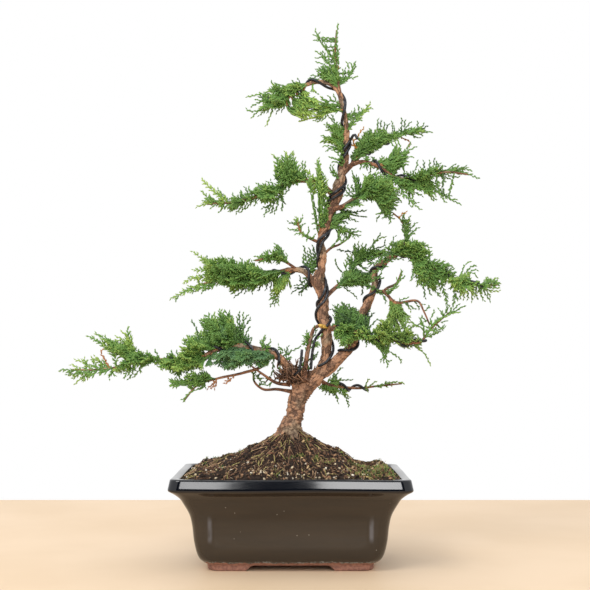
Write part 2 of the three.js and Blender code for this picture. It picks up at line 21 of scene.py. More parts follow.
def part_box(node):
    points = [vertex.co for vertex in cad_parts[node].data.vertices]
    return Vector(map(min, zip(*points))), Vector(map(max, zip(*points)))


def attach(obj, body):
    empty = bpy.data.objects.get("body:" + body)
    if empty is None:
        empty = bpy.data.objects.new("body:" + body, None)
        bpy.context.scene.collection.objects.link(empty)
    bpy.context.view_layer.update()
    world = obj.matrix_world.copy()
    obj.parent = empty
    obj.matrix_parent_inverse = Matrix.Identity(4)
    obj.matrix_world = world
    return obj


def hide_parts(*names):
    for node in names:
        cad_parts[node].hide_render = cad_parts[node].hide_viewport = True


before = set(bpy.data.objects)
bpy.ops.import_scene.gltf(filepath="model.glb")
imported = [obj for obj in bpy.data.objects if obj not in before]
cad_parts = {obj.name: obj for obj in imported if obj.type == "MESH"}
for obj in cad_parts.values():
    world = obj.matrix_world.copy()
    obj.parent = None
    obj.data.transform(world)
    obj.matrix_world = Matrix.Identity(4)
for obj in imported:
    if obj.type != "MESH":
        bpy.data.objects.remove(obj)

LOG = logging.getLogger("bonsai")
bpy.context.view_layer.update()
MM = 0.001
SEAM = 1e-5
TONE = "tone"

Colour = tuple[float, float, float]
Place = tuple[float, float, float]


class Slot(Enum):
    """The record's material slots."""

    CLAY = "glazed_clay"
    SOIL = "soil_mix"
    PLASTIC = "screen_plastic"
    BARK = "bark"
    TWIG = "twig_bark"
    FOLIAGE = "foliage"
    WIRE = "training_wire"


def pot_to_frame() -> Matrix:
    """Takes millimetres around the pot's middle to metres in the frame."""
    low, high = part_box("pot")
    middle = (low + high) / 2
    return Matrix.Translation((middle.x, middle.y, 0)) @ Matrix.Scale(MM, 4)


def blend(start: float, end: float, share: float) -> float:
    """The value a share of the way from start to end."""
    return start + (end - start) * share


def smoothstep(value: np.ndarray | float, start: float, end: float) -> np.ndarray | float:
    """0 before start, 1 after end and a soft rise between them."""
    share = np.clip((value - start) / (end - start), 0, 1)
    return share * share * (3 - 2 * share)


def unit(vector: np.ndarray) -> np.ndarray:
    """The vector at length 1, or each row of it."""
    return vector / np.maximum(np.linalg.norm(vector, axis=-1, keepdims=True), 1e-9)


class Value:
    """A number socket that takes part in Python expressions, which add its Math nodes."""

    def __init__(self, graph: "Graph", socket: bpy.types.NodeSocket) -> None:
        """Keeps the graph that the socket belongs to."""
        self.graph = graph
        self.socket = socket

    def maths(self, operation: str, *values: "Value | float") -> "Value":
        """One Math node on the given values."""
        sockets = dict(enumerate(values))
        return self.graph.value("ShaderNodeMath", {"operation": operation}, sockets)

    def __add__(self, other: "Value | float") -> "Value":
        """The sum."""
        return self.maths("ADD", self, other)

    __radd__ = __add__

    def __sub__(self, other: "Value | float") -> "Value":
        """The difference."""
        return self.maths("SUBTRACT", self, other)

    def __rsub__(self, other: float) -> "Value":
        """A plain number less this one."""
        return self.maths("SUBTRACT", other, self)

    def __mul__(self, other: "Value | float") -> "Value":
        """The product."""
        return self.maths("MULTIPLY", self, other)

    __rmul__ = __mul__

    def __truediv__(self, other: "Value | float") -> "Value":
        """The quotient."""
        return self.maths("DIVIDE", self, other)

    def __abs__(self) -> "Value":
        """The number without its sign."""
        return self.maths("ABSOLUTE", self)

    def between(self, start: float, end: float) -> "Value":
        """A soft mask: 0 at start and 1 at end."""
        sockets = {"Value": self, "From Min": start, "From Max": end}
        settings = {"interpolation_type": "SMOOTHSTEP"}
        return self.graph.value("ShaderNodeMapRange", settings, sockets)


class Graph:
    """The nodes of one material, with a short call for each kind that is used."""

    def __init__(self, name: str) -> None:
        """Starts an empty material.

        Args:
            name: Its name.
        """
        self.material = bpy.data.materials.new(name)
        self.material.use_nodes = True
        self.tree = self.material.node_tree
        self.tree.nodes.clear()
        self.place = self.node("ShaderNodeTexCoord").outputs["Object"]

    def node(self, kind: str, settings: dict | None = None, sockets: dict | None = None) -> bpy.types.Node:
        """Adds one node.

        Args:
            kind: The node's type.
            settings: Its properties, set first.
            sockets: Values or links for its inputs, by name or number.

        Returns:
            The new node.
        """
        made = self.tree.nodes.new(kind)
        for name, value in (settings or {}).items():
            setattr(made, name, value)
        for name, value in (sockets or {}).items():
            self._feed(made.inputs[name], value)
        return made

    def value(
        self, kind: str, settings: dict | None = None, sockets: dict | None = None, output: int = 0
    ) -> Value:
        """One of a node's outputs as a number."""
        return Value(self, self.node(kind, settings, sockets).outputs[output])

    def _feed(self, socket: bpy.types.NodeSocket, value: object) -> None:
        """Links a socket to an output, or sets its number or colour.

        Args:
            socket: The input.
            value: What it gets: a Value, another node's output, a colour or a number.
        """
        if isinstance(value, Value):
            self.tree.links.new(value.socket, socket)
        elif isinstance(value, bpy.types.NodeSocket):
            self.tree.links.new(value, socket)
        elif isinstance(value, tuple) and socket.type == "RGBA":
            socket.default_value = (*value, 1)
        else:
            socket.default_value = value

    def stretched(self, scale: Place) -> bpy.types.NodeSocket:
        """The object's coordinates with each axis scaled."""
        return self.node("ShaderNodeMapping", {}, {"Vector": self.place, "Scale": scale}).outputs[0]

    def noise(self, size: float, detail: float = 3, vector: bpy.types.NodeSocket | None = None) -> Value:
        """Soft noise whose lumps are about size mm across."""
        sockets = {"Vector": vector or self.place, "Scale": 1 / (size * MM), "Detail": detail}
        return self.value("ShaderNodeTexNoise", {}, sockets)

    def cells(self, size: float) -> Value:
        """Distance in a cell pattern whose cells are about size mm across."""
        return self.value("ShaderNodeTexVoronoi", {}, {"Vector": self.place, "Scale": 1 / (size * MM)})

    def mix(
        self, share: Value | float, start: object, end: object, way: str = "MIX"
    ) -> bpy.types.NodeSocket:
        """A colour between two colours, or the second laid over the first in another way.

        Args:
            share: How much of the second colour there is.
            start: The first colour.
            end: The second colour.
            way: How they are mixed.

        Returns:
            The socket that holds the mixed colour.
        """
        settings = {"data_type": "RGBA", "blend_type": way}
        return self.node("ShaderNodeMix", settings, {0: share, 6: start, 7: end}).outputs[2]

    def tones(self) -> tuple[Value, Value, Value]:
        """The three numbers that the piece's own tone attribute holds."""
        parts = self.node("ShaderNodeSeparateColor", {}, {0: self.tone_colour()})
        return Value(self, parts.outputs[0]), Value(self, parts.outputs[1]), Value(self, parts.outputs[2])

    def tone_colour(self) -> bpy.types.NodeSocket:
        """The piece's own tone attribute as a colour."""
        return self.node("ShaderNodeAttribute", {"attribute_name": TONE}).outputs["Color"]

    def bump(self, height: Value, depth: float, strength: float) -> bpy.types.NodeSocket:
        """A normal from a height, where height 1 stands depth mm high."""
        sockets = {"Height": height, "Distance": depth * MM, "Strength": strength}
        return self.node("ShaderNodeBump", {}, sockets).outputs[0]

    def surface(self, **sockets: object) -> bpy.types.Material:
        """Ends the material with its shader.

        Args:
            **sockets: Values of the shader's sockets, named with underscores for spaces.

        Returns:
            The finished material.
        """
        named = {name.replace("_", " "): value for name, value in sockets.items()}
        shader = self.node("ShaderNodeBsdfPrincipled", {}, named)
        self.node("ShaderNodeOutputMaterial", {}, {"Surface": shader.outputs[0]})
        return self.material


@dataclass(frozen=True)
class Glaze:
    """Glossy brown-black glaze that stops in a ragged grey line above bare red clay feet."""

    body: Colour = (0.026, 0.0185, 0.0125)
    brown: Colour = (0.033, 0.0225, 0.014)
    rim: Colour = (0.002, 0.003, 0.006)
    line: Colour = (0.22, 0.23, 0.22)
    clay: Colour = (0.34, 0.165, 0.12)
    clay_dark: Colour = (0.20, 0.095, 0.07)
    # Painted highlight: the pale colour laid along the panels' edges, where their slopes would catch the
    # light.
    panel_edge_highlight: Colour = (0.15, 0.15, 0.165)
    spot: Colour = (0.35, 0.32, 0.27)
    panel_half: tuple[float, float] = (69.0, 44.0)
    line_height: float = 7.2
    line_width: float = 2.0
    rim_height: float = 71.2
    spots_fade: tuple[float, float] = (64.0, 54.0)
    highlight_low: tuple[float, float] = (24.0, 31.0)
    highlight_high: tuple[float, float] = (51.0, 43.0)
    highlight_reach: tuple[float, float] = (2.8, 0.4)

    def material(self) -> bpy.types.Material:
        """The finish as a material, with heights and distances read in mm around the pot.

        Returns:
            The glazed clay.
        """
        g = Graph("glazed_clay")
        axes = [g.value("ShaderNodeSeparateXYZ", {}, {0: g.place}, axis) / MM for axis in range(3)]
        across, depth, height = axes
        across = across - pot_to_frame().translation.x / MM
        ragged = height + (g.noise(3.5, 4) - 0.5) * 3.4 + (g.noise(14, 2) - 0.5) * 2.4
        glazed = ragged.between(self.line_height, self.line_height + 0.5)
        crawled = ragged.between(self.line_height + self.line_width, self.line_height + 0.6)
        at_rim = height.between(self.rim_height - 1.0, self.rim_height + 0.6)
        streaks = g.noise(30, 4, g.stretched((0.5, 0.5, 3)))
        body = g.mix(streaks.between(0.3, 0.75), self.body, self.brown)
        body = g.mix(at_rim, body, self.rim)
        pits = g.cells(7).between(0.07, 0.045)
        spots = pits * g.noise(31, 0).between(0.5, 0.56) * height.between(*self.spots_fade)
        body = g.mix(spots * 0.7, body, self.spot)
        # Painted highlight: a pale band along the panels' side edges, between two heights, mixed over the
        # glaze.
        gaps = [abs(abs(way) - half) for way, half in zip((across, depth), self.panel_half)]
        edges = gaps[0].between(*self.highlight_reach) + gaps[1].between(*self.highlight_reach)
        upright = height.between(*self.highlight_low) * height.between(*self.highlight_high)
        body = g.mix(edges * (upright * g.noise(17, 2).between(0.25, 0.6)) * 0.6, body, self.panel_edge_highlight)
        body = g.mix(crawled * g.noise(2.2).between(0.35, 0.6), body, self.line)
        clay = g.mix(g.noise(2.5, 5).between(0.35, 0.65), self.clay_dark, self.clay)
        grit = g.noise(1.1, 4)
        relief = glazed + grit * (1 - glazed) * 0.5 + g.noise(24, 1) * 0.16 - spots * 0.4
        return g.surface(
            Base_Color=g.mix(glazed, clay, body),
            Roughness=glazed * -0.78 + 0.84 + g.noise(8) * 0.03,
            Normal=g.bump(relief, 0.35, 0.6),
            Specular_IOR_Level=0.5,
        )


@dataclass(frozen=True)
class BarkFinish:
    """Flaking bark: reddish brown, with tan patches, greyish plates and dark cracks, whose darkness is partly
    real and partly painted shade.
    """

    name: str
    # The cracks' colour: partly the bark's own dark fissures, partly painted shade.
    deep: Colour
    brown: Colour
    warm: Colour
    grey: Colour
    grey_share: float
    fleck: Colour = (0.50, 0.36, 0.25)

    def material(self) -> bpy.types.Material:
        """The finish as a material, which reads three tones: the bark's height, a chance and an age.

        Returns:
            The bark.
        """
        g = Graph(self.name)
        height, chance, age = g.tones()
        fine = g.noise(0.9, 5)
        broad = g.noise(11, 2)
        plate = g.mix((chance * 0.7 + fine * 0.5).between(0.35, 0.85), self.brown, self.warm)
        weathered = age * 0.9 + broad * 0.5 + fine * 0.25
        grey = weathered.between(1.16 - self.grey_share, 1.34 - self.grey_share)
        plate = g.mix(grey * 0.85, plate, self.grey)
        flecks = g.cells(1.7).between(0.5, 0.25) * fine.between(0.45, 0.65)
        plate = g.mix(flecks * 0.35, plate, self.fleck)
        # Partly painted shade: the low bark between the plates is painted towards the dark crack colour.
        base = g.mix((height * 1.1 + fine * 0.7 - 0.35).between(0.1, 0.8), self.deep, plate)
        relief = g.noise(0.7, 4, g.stretched((1, 1, 0.35))) + g.noise(2.4, 3) * 0.8
        return g.surface(
            Base_Color=base,
            Roughness=fine * 0.15 + 0.76,
            Normal=g.bump(relief, 0.7, 0.9),
            Specular_IOR_Level=0.25,
        )


@dataclass(frozen=True)
class FoliageFinish:
    """Scale leaves. The tones are youth towards the tips, a blue cast and dead brown. Youth also carries
    painted light and shade: its darkest green is partly painted shade and its palest partly painted
    highlight.
    """

    # The darkest green is partly painted shade and the palest partly painted highlight, besides old and young
    # growth.
    old_and_shaded: Colour = (0.030, 0.074, 0.024)
    grown: Colour = (0.140, 0.285, 0.062)
    young_and_lit: Colour = (0.35, 0.50, 0.105)
    blue: Colour = (0.105, 0.215, 0.105)
    woody: Colour = (0.40, 0.17, 0.06)
    dead: Colour = (0.62, 0.30, 0.05)

    def material(self) -> bpy.types.Material:
        """The finish as a material.

        Returns:
            The scale leaves and the little bark between them.
        """
        g = Graph("foliage")
        youth, cast, dead = g.tones()
        mottle = g.noise(3.2, 3)
        lit = (youth + (mottle - 0.5) * 0.32).between(0.0, 0.55)
        green = g.mix(lit, self.old_and_shaded, self.grown)
        green = g.mix((youth + (g.noise(6) - 0.5) * 0.35).between(0.55, 1.05), green, self.young_and_lit)
        green = g.mix(cast.between(0.35, 0.9) * 0.8, green, self.blue)
        green = g.mix(dead.between(0.3, 0.5), green, self.woody)
        green = g.mix(dead.between(0.7, 0.9), green, self.dead)
        return g.surface(
            Base_Color=green,
            Roughness=mottle * 0.2 + 0.42,
            Normal=g.bump(g.cells(1.15), 0.2, 0.6),
            Specular_IOR_Level=0.4,
        )


@dataclass(frozen=True)
class WireFinish:
    """Black anodised soft aluminium with a blue-grey sheen, scuffed where it was bent."""

    dark: Colour = (0.020, 0.022, 0.028)
    scuffed: Colour = (0.11, 0.12, 0.14)

    def material(self) -> bpy.types.Material:
        """The finish as a material.

        Returns:
            The anodised wire.
        """
        g = Graph("training_wire")
        scuff = (g.noise(5, 4) * 0.7 + g.noise(1.2, 3) * 0.3).between(0.52, 0.7)
        return g.surface(
            Base_Color=g.mix(scuff, self.dark, self.scuffed),
            Roughness=g.noise(2.5) * 0.2 + 0.3,
            Metallic=0.35,
            Normal=g.bump(g.noise(1.0, 3), 0.12, 0.5),
        )


@dataclass(frozen=True)
class TintedFinish:
    """Small things that each have a colour of their own, mottled as soil, stone and wood are."""

    name: str
    mottle_size: float
    depth: float
    roughness: float = 0.86
    shaded: Colour = (0.45, 0.42, 0.4)
    lit: Colour = (1.4, 1.4, 1.4)

    def material(self) -> bpy.types.Material:
        """The finish as a material. The tone attribute holds the colour.

        Returns:
            The mottled colour.
        """
        g = Graph(self.name)
        mottle = g.noise(self.mottle_size, 5)
        patches = g.mix(mottle.between(0.3, 0.7), self.shaded, self.lit)
        return g.surface(
            Base_Color=g.mix(1.0, g.tone_colour(), patches, "MULTIPLY"),
            Roughness=mottle * 0.14 + self.roughness - 0.07,
            Normal=g.bump(mottle, self.depth, 0.9),
            Specular_IOR_Level=0.2,
        )


@dataclass(frozen=True)
class ScreenFinish:
    """Dull dark green plastic with earth rubbed into it."""

    plastic: Colour = (0.012, 0.022, 0.016)
    earth: Colour = (0.07, 0.045, 0.03)

    def material(self) -> bpy.types.Material:
        """The finish as a material.

        Returns:
            The plastic of the screens.
        """
        g = Graph("screen_plastic")
        dirt = g.noise(4, 5).between(0.5, 0.68)
        return g.surface(
            Base_Color=g.mix(dirt, self.plastic, self.earth),
            Roughness=dirt * 0.35 + 0.5,
            Normal=g.bump(g.noise(1.5, 3), 0.15, 0.5),
        )


BARK_OLD = BarkFinish(
    "bark", deep=(0.050, 0.030, 0.022), brown=(0.29, 0.165, 0.115), warm=(0.52, 0.285, 0.165),
    grey=(0.34, 0.262, 0.18), grey_share=0.30,
)
BARK_TWIG = BarkFinish(
    "twig_bark", deep=(0.04, 0.022, 0.016), brown=(0.205, 0.102, 0.068), warm=(0.39, 0.185, 0.10),
    grey=(0.24, 0.185, 0.13), grey_share=0.24,
)


class MiddleLine:
    """A smooth line through given points, measured along its length in mm.

    It is the centripetal curve that the frame's stems and wires follow, so what winds on a stem
    by a distance and a turn lands where the frame has it.
    """

    SAMPLES = 24

    def __init__(self, points: Sequence[Sequence[float]]) -> None:
        """Measures the line through its points.

        Args:
            points: Rows of (x, y, z) or (x, y, z, radius).
        """
        rows = np.array(points, float)
        self.control = rows[:, :3]
        self.radii = rows[:, 3] if rows.shape[1] > 3 else np.ones(len(rows))
        self.places, self.shares = self._sampled()
        steps = np.linalg.norm(np.diff(self.places, axis=0), axis=1)
        self.distances = np.concatenate([[0.0], np.cumsum(steps)])
        self.length = float(self.distances[-1])
        self.directions = unit(np.gradient(self.places, self.distances, axis=0))

    def _sampled(self) -> tuple[np.ndarray, np.ndarray]:
        """Samples the line.

        Returns:
            Many places on the line, and for each its share in units of control points.
        """
        first = 2 * self.control[0] - self.control[1]
        last = 2 * self.control[-1] - self.control[-2]
        ends = np.vstack([first, self.control, last])
        share = np.linspace(0, 1, self.SAMPLES, endpoint=False)[:, None]
        places, shares = [], []
        for index in range(len(self.control) - 1):
            before, start, end, after = ends[index:index + 4]
            gaps = [math.sqrt(max(np.linalg.norm(b - a), 1e-6)) for a, b in
                    ((before, start), (start, end), (end, after))]
            leave = (start - before) / gaps[0] - (end - before) / (gaps[0] + gaps[1])
            leave = leave + (end - start) / gaps[1]
            reach = (end - start) / gaps[1] - (after - start) / (gaps[1] + gaps[2])
            reach = reach + (after - end) / gaps[2]
            leave, reach = leave * gaps[1], reach * gaps[1]
            curve = start + leave * share + (3 * (end - start) - 2 * leave - reach) * share**2
            places.append(curve + (2 * (start - end) + leave + reach) * share**3)
            shares.append(index + share[:, 0])
        places.append(self.control[-1:])
        shares.append(np.array([len(self.control) - 1.0]))
        return np.vstack(places), np.concatenate(shares)

    def _along(self, rows: np.ndarray, distances: np.ndarray) -> np.ndarray:
        """The rows looked up at distances."""
        return np.stack([np.interp(distances, self.distances, rows[:, axis]) for axis in range(3)], axis=-1)

    def radius(self, distances: np.ndarray) -> np.ndarray:
        """The line's radius at each distance."""
        shares = np.interp(distances, self.distances, self.shares)
        return np.interp(shares, np.arange(len(self.radii)), self.radii)

    def frames(self, distances: np.ndarray) -> tuple[np.ndarray, np.ndarray, np.ndarray, np.ndarray]:
        """Looks up the line's frame.

        Args:
            distances: Distances along the line.

        Returns:
            The centre, direction, front and side of the line at each distance.
        """
        centres = self._along(self.places, distances)
        along = unit(self._along(self.directions, distances))
        front = np.zeros_like(along)
        front[..., 1] = -1
        front = unit(front - along * np.sum(front * along, axis=-1, keepdims=True))
        return centres, along, front, np.cross(along, front)

    def around(self, distances: np.ndarray, turns: np.ndarray, reach: np.ndarray) -> np.ndarray:
        """Places off the line, at whole turns counted from its front."""
        centres, _, front, side = self.frames(distances)
        angle = 2 * math.pi * turns[..., None]
        return centres + reach[..., None] * (np.cos(angle) * front + np.sin(angle) * side)


def skin(sections: np.ndarray, tones: np.ndarray | None = None) -> bmesh.types.BMesh:
    """Closes rings of points into one tube.

    Args:
        sections: Points by ring, by place around the ring and by axis. A ring whose points are all
            one place closes an end.
        tones: A tone colour for each of those points.

    Returns:
        The tube, its seam merged and its faces pointing out.
    """
    rings, around = sections.shape[:2]
    bm = bmesh.new()
    layer = bm.verts.layers.float_color.new(TONE)
    made = bmesh.ops.create_grid(bm, x_segments=around, y_segments=rings - 1, size=1)["verts"]
    places = np.concatenate([sections, sections[:, :1]], axis=1).reshape(-1, 3)
    for vert, place in zip(made, places):
        vert.co = place
    if tones is not None:
        colours = np.concatenate([tones, tones[:, :1]], axis=1).reshape(-1, 4)
        for vert, colour in zip(made, colours):
            vert[layer] = colour
    bmesh.ops.remove_doubles(bm, verts=bm.verts, dist=SEAM)
    bmesh.ops.recalc_face_normals(bm, faces=bm.faces)
    return bm


def show_piece(
    name: str, bm: bmesh.types.BMesh, finishes: Sequence[bpy.types.Material], slot: Slot, *nodes: str
) -> bpy.types.Object:
    """Makes a piece of a finished bmesh, in the frame, and frees the bmesh.

    Args:
        name: The piece's name.
        bm: Its shape in millimetres around the pot.
        finishes: Its materials, by face material number.
        slot: The record's slot that its finish comes from. It is not used.
        nodes: The CAD nodes that it stands for.

    Returns:
        The new object.
    """
    mesh = bpy.data.meshes.new(name)
    bm.to_mesh(mesh)
    bm.free()
    mesh.transform(pot_to_frame())
    for finish in finishes:
        mesh.materials.append(finish)
    mesh.shade_smooth()
    piece = bpy.data.objects.new(name, mesh)
    bpy.context.scene.collection.objects.link(piece)
    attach(piece, "root")
    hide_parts(*nodes)
    mesh.calc_loop_triangles()
    LOG.info("%s: %d triangles", name, len(mesh.loop_triangles))
    return piece


class Shape:
    """A small template whose copies are bent or placed into a pile."""

    def __init__(self, bm: bmesh.types.BMesh) -> None:
        """Takes the template's shape and frees its bmesh.

        Args:
            bm: The template.
        """
        if TONE not in bm.verts.layers.float_color:
            bm.verts.layers.float_color.new(TONE)
        self.mesh = bpy.data.meshes.new("shape")
        bm.to_mesh(self.mesh)
        bm.free()
        self.count = len(self.mesh.vertices)
        flat = np.zeros(self.count * 3, np.float32)
        self.mesh.vertices.foreach_get("co", flat)
        self.points = flat.reshape(-1, 3).astype(float)
        self.tones = self.mesh.attributes[TONE]

    def stamp(self, places: np.ndarray, colours: np.ndarray) -> bpy.types.Mesh:
        """The template's mesh with its vertices moved and toned."""
        self.mesh.vertices.foreach_set("co", places.astype(np.float32).ravel())
        self.tones.data.foreach_set("color", colours.astype(np.float32).ravel())
        return self.mesh


def smooth_shape(rings: int, sides: int) -> Shape:
    """A round stalk from 0 to 1 along Z, closed at both ends.

    Args:
        rings: How many rings of points it has.
        sides: How many points a ring has.

    Returns:
        The stalk.
    """
    heights = np.linspace(0, 1, rings)
    heights = np.concatenate([[0], heights, [1]])
    reach = np.concatenate([[0], np.ones(rings), [0]])
    angle = 2 * math.pi * np.arange(sides) / sides
    sections = np.zeros((len(heights), sides, 3))
    sections[..., 0] = reach[:, None] * np.cos(angle)
    sections[..., 1] = reach[:, None] * np.sin(angle)
    sections[..., 2] = heights[:, None]
    sections[1, :, 2] = 0.01
    sections[-2, :, 2] = 0.97
    return Shape(skin(sections))


def scaly_shape(pairs: int) -> Shape:
    """A shoot of pressed-on scale leaves, in pairs that cross each other on the way to its tip.

    Args:
        pairs: How many pairs of leaves it has.

    Returns:
        The shoot, from 0 to 1 along Z.
    """
    heights = np.concatenate([[0.0], (np.arange(pairs) + 0.45) / (pairs + 0.4), [1.0]])
    sections = np.zeros((pairs + 2, 4, 3))
    quarter = np.arange(4)
    for ring, height in enumerate(heights):
        outward = np.where(quarter % 2 == ring % 2, 1.12, 0.84)
        fullness = 0.0 if ring in (0, pairs + 1) else min(1.0, 0.55 + 2.2 * (1 - height))
        angle = quarter * math.pi / 2
        sections[ring, :, 0] = fullness * outward * np.cos(angle)
        sections[ring, :, 1] = fullness * outward * np.sin(angle)
        sections[ring, :, 2] = height
    return Shape(skin(sections))


def stone_shape(seed: int, flatness: float) -> Shape:
    """A rough lump about 1 across.

    Args:
        seed: Sets its form.
        flatness: Its height to its width.

    Returns:
        The lump.
    """
    bm = bmesh.new()
    made = bmesh.ops.create_icosphere(bm, subdivisions=1, radius=0.5)["verts"]
    chance = random.Random(seed)
    for vert in made:
        vert.co *= chance.uniform(0.72, 1.2)
        vert.co.z *= flatness
    return Shape(bm)


def chip_shape(seed: int) -> Shape:
    """A slender splinter of bark or wood, 1 long, with worn edges.

    Args:
        seed: Sets its form.

    Returns:
        The splinter.
    """
    bm = bmesh.new()
    made = bmesh.ops.create_cube(bm, size=1)["verts"]
    bmesh.ops.scale(bm, vec=(1, 0.42, 0.16), verts=made)
    chance = random.Random(seed)
    for vert in made:
        vert.co += Vector([chance.uniform(-0.07, 0.07) for _ in range(3)])
    bmesh.ops.bevel(
        bm, geom=bm.edges[:], offset=0.05, affect="EDGES", segments=1, profile=0.5, material=-1
    )
    return Shape(bm)


class Pile:
    """Copies of small shapes, each bent or placed and toned on its own, gathered in one mesh."""

    def __init__(self) -> None:
        """Starts an empty pile."""
        self.bm = bmesh.new()
        self.bm.verts.layers.float_color.new(TONE)

    def bend(
        self, shape: Shape, curve: Sequence[np.ndarray], radii: tuple[float, float],
        tones: Sequence[Colour], flat: np.ndarray | None = None,
    ) -> None:
        """Adds a stalk along a bent line.

        Args:
            shape: A template that runs from 0 to 1 along Z.
            curve: Its base, the point that it bends towards and its tip.
            radii: Its radius at the base and at the tip.
            tones: Its tone at the base and at the tip.
            flat: A direction square to which the stalk's first side faces.
        """
        base, middle, tip = curve
        share = shape.points[:, 2:3]
        centre = (1 - share)**2 * base + 2 * share * (1 - share) * middle + share**2 * tip
        chord = unit(tip - base)
        lean = flat if flat is not None else np.array((0.3, -1.0, 0.2))
        first = unit(np.cross(chord, lean))
        second = np.cross(chord, first)
        radius = radii[0] + (radii[1] - radii[0]) * share
        places = centre + radius * (shape.points[:, 0:1] * first + shape.points[:, 1:2] * second)
        start, end = (np.array((*tone, 1.0)) for tone in tones)
        self.bm.from_mesh(shape.stamp(places, start + (end - start) * share))

    def put(self, shape: Shape, place: Matrix, tone: Colour) -> None:
        """Adds a copy of a shape by a matrix."""
        turned = np.array(place.to_3x3()) @ shape.points.T
        places = turned.T + np.array(place.translation)
        self.bm.from_mesh(shape.stamp(places, np.tile((*tone, 1.0), (shape.count, 1))))

    def include(self, bm: bmesh.types.BMesh) -> None:
        """Adds a finished bmesh and frees it.

        Args:
            bm: The bmesh.
        """
        mesh = bpy.data.meshes.new("part")
        bm.to_mesh(mesh)
        bm.free()
        self.bm.from_mesh(mesh)
        bpy.data.meshes.remove(mesh)


@dataclass(frozen=True)
class RoundedRectangle:
    """An upright stack's level outline: half sizes and corner radius in mm."""

    half_length: float
    half_depth: float
    corner: float

    def points(self, shares: np.ndarray) -> np.ndarray:
        """Places around the outline.

        Args:
            shares: Where they stand, in quarter turns from the middle of the right side.

        Returns:
            Their x and y.
        """
        corner = min(self.corner, self.half_length, self.half_depth)
        straight = (self.half_depth - corner, self.half_length - corner)
        arc = corner * math.pi / 2
        quarter = straight[0] + arc + straight[1]
        which = np.floor(shares).astype(int) % 4
        run = (shares - np.floor(shares)) * (sum(straight) + arc)
        run = np.where(which % 2 == 0, run, quarter - run)
        angle = np.clip((run - straight[0]) / max(arc, 1e-9), 0, 1) * math.pi / 2
        x = self.half_length - corner + corner * np.cos(angle) - np.clip(run - straight[0] - arc, 0, None)
        y = np.clip(run, 0, straight[0]) + corner * np.sin(angle)
        sign_x = np.where((which == 0) | (which == 3), 1, -1)
        sign_y = np.where(which < 2, 1, -1)
        return np.stack([x * sign_x, y * sign_y], axis=-1)


